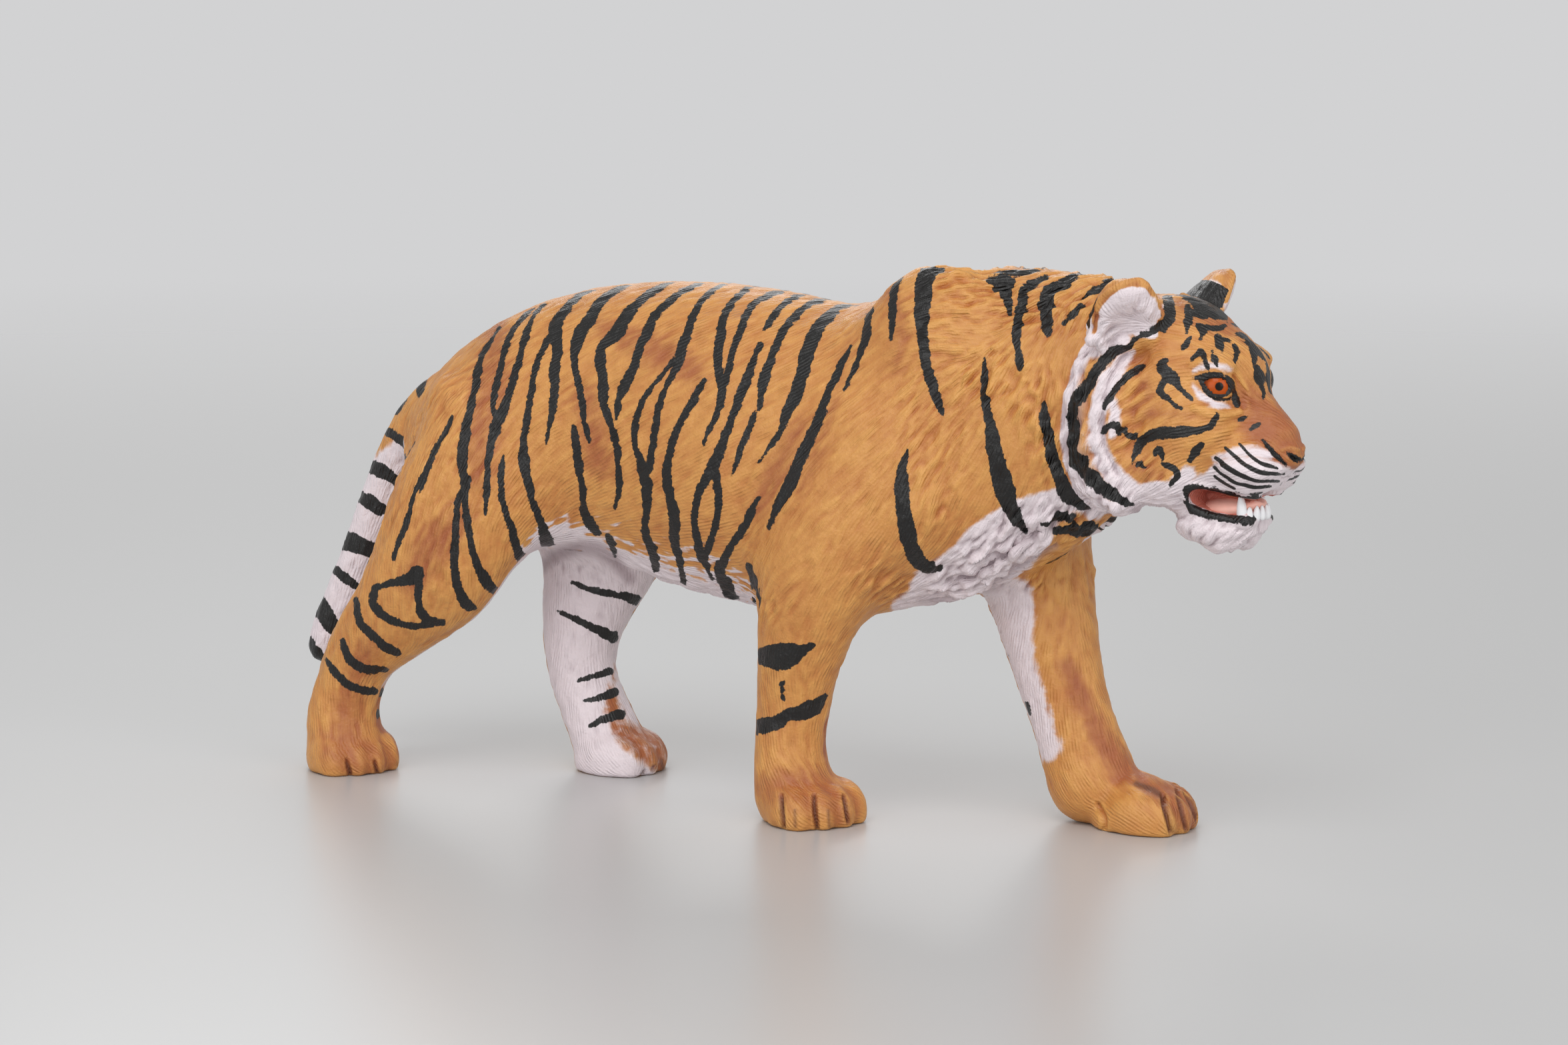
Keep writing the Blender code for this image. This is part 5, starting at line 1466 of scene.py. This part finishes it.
class TigerLooks(bpy.types.PropertyGroup):
    """Sizes and colours of the figure that a user would change."""

    fineness: FloatProperty(
        name="Fineness", description="Spacing of the skin's points", default=0.24 * MM, min=0.15 * MM,
        max=1 * MM, unit="LENGTH", precision=5,
    )
    fur: FloatProperty(
        name="Fur depth", description="Share of the carved fur's depth", default=1.0, min=0, max=2,
        subtype="FACTOR",
    )
    # The light and dark ochre also make the painted highlight on the ridges of the fur and the painted shade
    # in its hollows
    light_coat: paint_colour("Light coat", "Ochre on the ridges", "#DDA056")
    dark_coat: paint_colour("Dark coat", "Ochre in the hollows", "#B97038")
    brown_wash: paint_colour("Brown wash", "Brown paint over the ochre", "#A55C34")
    white_fur: paint_colour("White fur", "Pinkish white of belly and ruff", "#ECDFE3")
    # Lilac and dark brown are painted shade: in creases, under the throat, behind the ruff and between the
    # toes
    lilac_shade: paint_colour("Lilac shade", "Shade in the creases of the white", "#A8949A")
    toe_shade_brown: paint_colour("Toes", "Dark brown between the toes", "#643A28")
    black_stripe: paint_colour("Stripes", "Black of stripes and lips", "#12100F")
    mouth_red: paint_colour("Mouth", "Red inside the mouth", "#D6806E")
    tongue_pink: paint_colour("Tongue", "Salmon of the tongue", "#FFBFAE")
    tooth_white: paint_colour("Teeth", "Cool white of the teeth", "#FBFBFD")
    iris_orange: paint_colour("Iris", "Orange of the eyes", "#CC560C")


class TIGER_OT_coat(bpy.types.Operator):
    """Refines, carves and paints the skin of the figure"""

    bl_idname = "tiger.coat"
    bl_label = "Coat"

    def execute(self, context):
        looks = context.scene.tiger_looks
        coat = dense_copy("tiger_coat", looks.fineness)
        skin = Skin(coat.data)
        bpy.data.objects.remove(coat)
        skin.relax(SMOOTHING_PASSES)
        skin.sort_out()
        draw_out_ears(skin)
        round_haunches(skin)
        skin.sort_out()
        outer = ramp(skin.outer_facing, *CARVE_FACING)
        carve(skin, HEAD_CARVING, skin.outer_places, skin.head * outer)
        carve(skin, BODY_CARVING, skin.outer_places, (1 - skin.head) * outer)
        inner = ramp(skin.inner_facing, *CARVE_FACING)
        carve(skin, INNER_CARVING, skin.inner_places, skin.inner * inner)
        open_mouth(skin)
        set_eyelids(skin)
        skin.update()
        lie = lay_fur(skin)
        relief = fur_relief(skin, lie)
        skin.points += skin.normals * (relief * fur_depth(skin, looks.fur))[:, None]
        low, high = np.array(CAD_LOW) / MM, np.array(CAD_HIGH) / MM
        skin.points = np.clip(skin.points, low, high)
        skin.update()
        paint = paint_skin(skin, relief)
        across = np.cross(skin.normals, lie)
        material = painted_pvc(looks)

        middle = skin.points[skin.quads].mean(axis=1)[:, 0]
        on_head = skin.head[skin.quads].mean(axis=1) > 0.5
        zones = np.where(on_head, 0, 1 + np.searchsorted(COAT_CUTS, middle))
        for zone, name in enumerate(COAT_NAMES):
            faces = np.nonzero(zones == zone)[0]
            piece = cut_piece(name, skin, faces, paint, across)
            finish_piece(piece, material)
            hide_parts(NODE)
        return {"FINISHED"}


def open_mouth(skin):
    """Pushes the skin between the lips in towards the middle of the mouth."""
    inside = inside_outline(skin.outer_places, MOUTH_OUTLINE) * skin.pixel
    ours = (inside > 0) & (skin.head > 0.5) & (skin.outer_facing > 0)
    ours &= np.abs(skin.home[:, 1]) > MOUTH_CORE
    push = MOUTH_PUSH * ramp(inside[ours], *MOUTH_EDGE)
    home = to_head(skin.points[ours])
    side = np.sign(home[:, 1])
    wide = np.abs(home[:, 1])
    home[:, 1] = side * np.maximum(wide - push, np.minimum(wide, MOUTH_CORE))
    skin.points[ours] = from_head(home)


class TIGER_OT_eyes(bpy.types.Operator):
    """Sets the two glossy eyeballs behind the lids"""

    bl_idname = "tiger.eyes"
    bl_label = "Eyes"

    def execute(self, context):
        looks = context.scene.tiger_looks
        material = glossy_eye(looks)
        for side, name in ((-1, "eye_right"), (1, "eye_left")):
            middle = eye_middle(side)
            gaze = eye_gaze(side)
            bpy.ops.mesh.primitive_uv_sphere_add(
                segments=48, ring_count=32, radius=EYE_RADIUS * MM, location=mm(middle),
                rotation=Vector(gaze).to_track_quat("Z", "Y").to_euler(),
            )
            ball = context.active_object
            ball.name = ball.data.name = name
            mesh = ball.data
            gazes = np.array([v.co for v in mesh.vertices]) / MM
            layer = mesh.attributes.new("gaze", "FLOAT_VECTOR", "POINT")
            layer.data.foreach_set("vector", gazes.ravel())
            bpy.ops.object.shade_smooth()
            bake_place(ball)
            finish_piece(ball, material)
        return {"FINISHED"}


def eye_gaze(side):
    """The direction in which an eye looks: through the pupil that the photo shows."""
    middle = Vector(eye_middle(-1))
    ray = Vector(photo_ray(PUPIL_MIDDLE))
    start = Vector(CAMERA_PLACE)
    along = (middle - start).dot(ray)
    foot = start + ray * along
    half = math.sqrt(max(EYE_RADIUS**2 - (foot - middle).length_squared, 0))
    gaze = (foot - ray * half - middle).normalized()
    if side > 0:
        turn = HEAD_FRAME.to_3x3()
        home = turn.transposed() @ gaze
        gaze = turn @ Vector((home.x, -home.y, home.z))
    return gaze


def glossy_eye(looks):
    """Enamel dot of orange with a dark pupil under clear lacquer, which gives a wet highlight."""
    material, tree, output = new_material("lacquered_eye_paint")
    gaze = add(tree, "ShaderNodeAttribute", attribute_name="gaze").outputs["Vector"]
    parts = add(tree, "ShaderNodeSeparateXYZ", {"Vector": gaze}).outputs
    flat = add(tree, "ShaderNodeCombineXYZ", {"X": parts["X"], "Y": parts["Y"]}).outputs[0]
    spread = add(tree, "ShaderNodeVectorMath", {0: flat}, operation="LENGTH").outputs["Value"]
    streaks = add(tree, "ShaderNodeTexNoise", {"Vector": gaze, "Scale": 2.2, "Detail": 3.0}).outputs["Fac"]
    pupil = {
        "Value": spread, "From Min": PUPIL_RADIUS + PUPIL_SOFTNESS, "From Max": PUPIL_RADIUS - PUPIL_SOFTNESS,
    }
    pupil = add(tree, "ShaderNodeMapRange", pupil).outputs["Result"]
    rim = {"Value": spread, "From Min": IRIS_RADIUS * 0.8, "From Max": IRIS_RADIUS * 1.12}
    rim = add(tree, "ShaderNodeMapRange", rim).outputs["Result"]
    bright, deep, dark = ((*(part * share for part in looks.iris_orange), 1) for share in (1, 0.6, 0.35))
    eye = add(tree, "ShaderNodeMix", {0: streaks, 6: bright, 7: deep}, data_type="RGBA").outputs[2]
    for share, colour in ((rim, dark), (pupil, (*linear(PUPIL_BLACK), 1))):
        eye = add(tree, "ShaderNodeMix", {0: share, 6: eye, 7: colour}, data_type="RGBA").outputs[2]
    lacquer = {"Roughness": 0.3, "Specular IOR Level": 0.15, "Coat Weight": 0.2, "Coat Roughness": 0.03}
    shader = add(tree, "ShaderNodeBsdfPrincipled", {"Base Color": eye, **lacquer})
    tree.links.new(shader.outputs[0], output.inputs["Surface"])
    return material


def enamel(name, colour, roughness, shade):
    """Gloss enamel paint with thicker and thinner places, for tongue and teeth."""
    material, tree, output = new_material(name)
    spot = add(tree, "ShaderNodeTexCoord").outputs["Object"]
    cloud = {"Vector": spot, "Scale": 1 / (0.9 * MM), "Detail": 2.0}
    cloud = add(tree, "ShaderNodeTexNoise", cloud).outputs["Fac"]
    blend = {0: cloud, 6: (*colour, 1), 7: (*(part * shade for part in colour), 1)}
    blend = add(tree, "ShaderNodeMix", blend, data_type="RGBA").outputs[2]
    bump = {"Height": cloud, "Strength": 0.5, "Distance": 0.06 * MM}
    bump = add(tree, "ShaderNodeBump", bump).outputs["Normal"]
    paint = {"Base Color": blend, "Roughness": roughness, "IOR": 1.5, "Normal": bump}
    shader = add(tree, "ShaderNodeBsdfPrincipled", paint)
    tree.links.new(shader.outputs[0], output.inputs["Surface"])
    return material


def place_in_head(obj):
    """Moves a piece that was modelled in the head's own frame to its place."""
    obj.matrix_world = Matrix.Translation(HEAD_PLACE * MM) @ HEAD_FRAME.to_3x3().to_4x4() @ obj.matrix_world
    bake_place(obj)


class TIGER_OT_mouth(bpy.types.Operator):
    """Lays the tongue and the teeth in the open mouth"""

    bl_idname = "tiger.mouth"
    bl_label = "Tongue and teeth"

    def execute(self, context):
        looks = context.scene.tiger_looks
        bpy.ops.mesh.primitive_uv_sphere_add(
            segments=32, ring_count=20, radius=1 * MM, location=mm(TONGUE_PLACE),
        )
        tongue = context.active_object
        tongue.name = tongue.data.name = "tongue"
        tongue.scale = TONGUE_SIZE
        tongue.rotation_euler = (0, math.radians(TONGUE_PITCH), 0)
        bake_place(tongue)
        for vertex in tongue.data.vertices:
            away = (vertex.co - mm(TONGUE_PLACE)) / MM
            crease = math.exp(-((away.y / TONGUE_CREASE_WIDTH) ** 2)) * max(away.z, 0)
            vertex.co.z -= TONGUE_CREASE_DEPTH * crease * MM
            vertex.co.z += TONGUE_CURL * max(away.x - 1, 0) ** 2 * MM
        bpy.ops.object.shade_smooth()
        place_in_head(tongue)
        finish_piece(tongue, enamel("salmon_enamel", looks.tongue_pink, 0.32, 0.78))

        teeth = []
        for foot, tip, radius in TEETH:
            for side in (-1, 1):
                teeth.append(add_tooth(foot, tip, radius, side))
        deselect()
        for tooth in teeth:
            tooth.select_set(True)
        context.view_layer.objects.active = teeth[0]
        bpy.ops.object.join()
        row = context.active_object
        row.name = row.data.name = "teeth"
        row.data.shade_smooth()
        place_in_head(row)
        finish_piece(row, enamel("white_enamel", looks.tooth_white, 0.28, 0.86))
        return {"FINISHED"}


def add_tooth(foot, tip, radius, side):
    """One tooth: a cone bent over its length and rounded at the tip."""
    mirror = Vector((1, side, 1))
    foot, tip = mm(Vector(foot) * mirror), mm(Vector(tip) * mirror)
    rise = tip - foot
    bpy.ops.mesh.primitive_cylinder_add(
        vertices=14, radius=radius * MM, depth=rise.length, location=(foot + tip) / 2,
        rotation=rise.to_track_quat("Z", "Y").to_euler(),
    )
    tooth = bpy.context.active_object
    bpy.ops.object.mode_set(mode="EDIT")
    for share in TOOTH_CUTS:
        bpy.ops.mesh.select_all(action="SELECT")
        bpy.ops.mesh.bisect(plane_co=foot + rise * share, plane_no=rise)
    bpy.ops.object.mode_set(mode="OBJECT")
    half = rise.length / 2
    for vertex in tooth.data.vertices:
        up = (vertex.co.z + half) / (2 * half)
        width = 1.0 - TOOTH_TAPER[0] * up - TOOTH_TAPER[1] * up**3
        vertex.co.x *= width
        vertex.co.y *= width
    rounding = tooth.modifiers.new("rounding", "SUBSURF")
    rounding.levels = rounding.render_levels = 2
    apply_modifiers(tooth)
    bake_place(tooth)
    return tooth


class TIGER_OT_stage(bpy.types.Operator):
    """Sets the camera of the photo, a pale floor and soft lamps"""

    bl_idname = "tiger.stage"
    bl_label = "Stage"

    def execute(self, context):
        scene = context.scene
        camera = bpy.data.objects.new("camera", bpy.data.cameras.new("camera"))
        scene.collection.objects.link(camera)
        camera.location = mm(CAMERA_PLACE)
        camera.rotation_euler = [math.radians(angle) for angle in CAMERA_TURN]
        camera.data.lens = LENS
        camera.data.sensor_width = SENSOR
        camera.data.clip_start = 0.01
        scene.camera = camera

        deselect()
        bpy.ops.mesh.primitive_circle_add(vertices=96, radius=FLOOR_RADIUS * MM, fill_type="NGON")
        floor = context.active_object
        floor.name = floor.data.name = "floor"
        floor.data.materials.append(pale_floor())

        for name, place, power, size in LAMPS:
            lamp = bpy.data.lights.new(name, "AREA")
            lamp.energy = power
            lamp.size = size * MM
            holder = bpy.data.objects.new(name, lamp)
            scene.collection.objects.link(holder)
            holder.location = mm(place)
            aim = mm(LAMP_AIM) - mm(place)
            holder.rotation_euler = aim.to_track_quat("-Z", "Y").to_euler()

        world = bpy.data.worlds.new("studio")
        scene.world = world
        world.use_nodes = True
        tree = world.node_tree
        tree.nodes.clear()
        path = add(tree, "ShaderNodeLightPath").outputs
        seen = {0: path["Is Camera Ray"], 1: path["Is Transmission Ray"]}
        seen = add(tree, "ShaderNodeMath", seen, operation="MAXIMUM").outputs[0]
        room = add(tree, "ShaderNodeBackground", {"Color": (*linear("#FFFFFF"), 1), "Strength": ROOM_LIGHT})
        paper = add(tree, "ShaderNodeBackground", {"Color": (*linear(PAPER), 1), "Strength": 1.0})
        both = add(tree, "ShaderNodeMixShader", {0: seen, 1: room.outputs[0], 2: paper.outputs[0]})
        output = add(tree, "ShaderNodeOutputWorld")
        tree.links.new(both.outputs[0], output.inputs["Surface"])
        scene.view_settings.view_transform = "Standard"
        return {"FINISHED"}


def pale_floor():
    """Satin lacquered board: it keeps the shadow and a faint reflection, and fades out far from the figure."""
    material, tree, output = new_material("satin_lacquered_board")
    spot = add(tree, "ShaderNodeTexCoord").outputs["Object"]
    away = add(tree, "ShaderNodeVectorMath", {0: spot}, operation="LENGTH").outputs["Value"]
    fade = add(
        tree, "ShaderNodeMapRange",
        {"Value": away, "From Min": FLOOR_FADE[0] * MM, "From Max": FLOOR_FADE[1] * MM},
        interpolation_type="SMOOTHSTEP",
    ).outputs["Result"]
    paper = add(
        tree, "ShaderNodeBsdfPrincipled",
        {"Base Color": (*linear(FLOOR_COLOUR), 1), "Roughness": 0.3, "Specular IOR Level": 0.35},
    )
    clear = add(tree, "ShaderNodeBsdfTransparent")
    both = add(tree, "ShaderNodeMixShader", {0: fade, 1: paper.outputs[0], 2: clear.outputs[0]})
    tree.links.new(both.outputs[0], output.inputs["Surface"])
    return material


class TIGER_PT_figure(bpy.types.Panel):
    """Lists the steps that make the figure"""

    bl_idname = "TIGER_PT_figure"
    bl_label = "Tiger figure"
    bl_space_type = "VIEW_3D"
    bl_region_type = "UI"
    bl_category = "Tiger"

    def draw(self, context):
        for name in TigerLooks.__annotations__:
            self.layout.prop(context.scene.tiger_looks, name)
        for step in STEPS:
            self.layout.operator(step.bl_idname)


STEPS = (TIGER_OT_coat, TIGER_OT_eyes, TIGER_OT_mouth, TIGER_OT_stage)
CLASSES = (TigerLooks, *STEPS, TIGER_PT_figure)


def register():
    for item in CLASSES:
        bpy.utils.register_class(item)
    bpy.types.Scene.tiger_looks = PointerProperty(type=TigerLooks)


def unregister():
    del bpy.types.Scene.tiger_looks
    for item in reversed(CLASSES):
        bpy.utils.unregister_class(item)


def main():
    register()
    deselect()
    bpy.ops.tiger.coat()
    bpy.ops.tiger.eyes()
    bpy.ops.tiger.mouth()
    bpy.ops.tiger.stage()


if __name__ == "__main__":
    main()
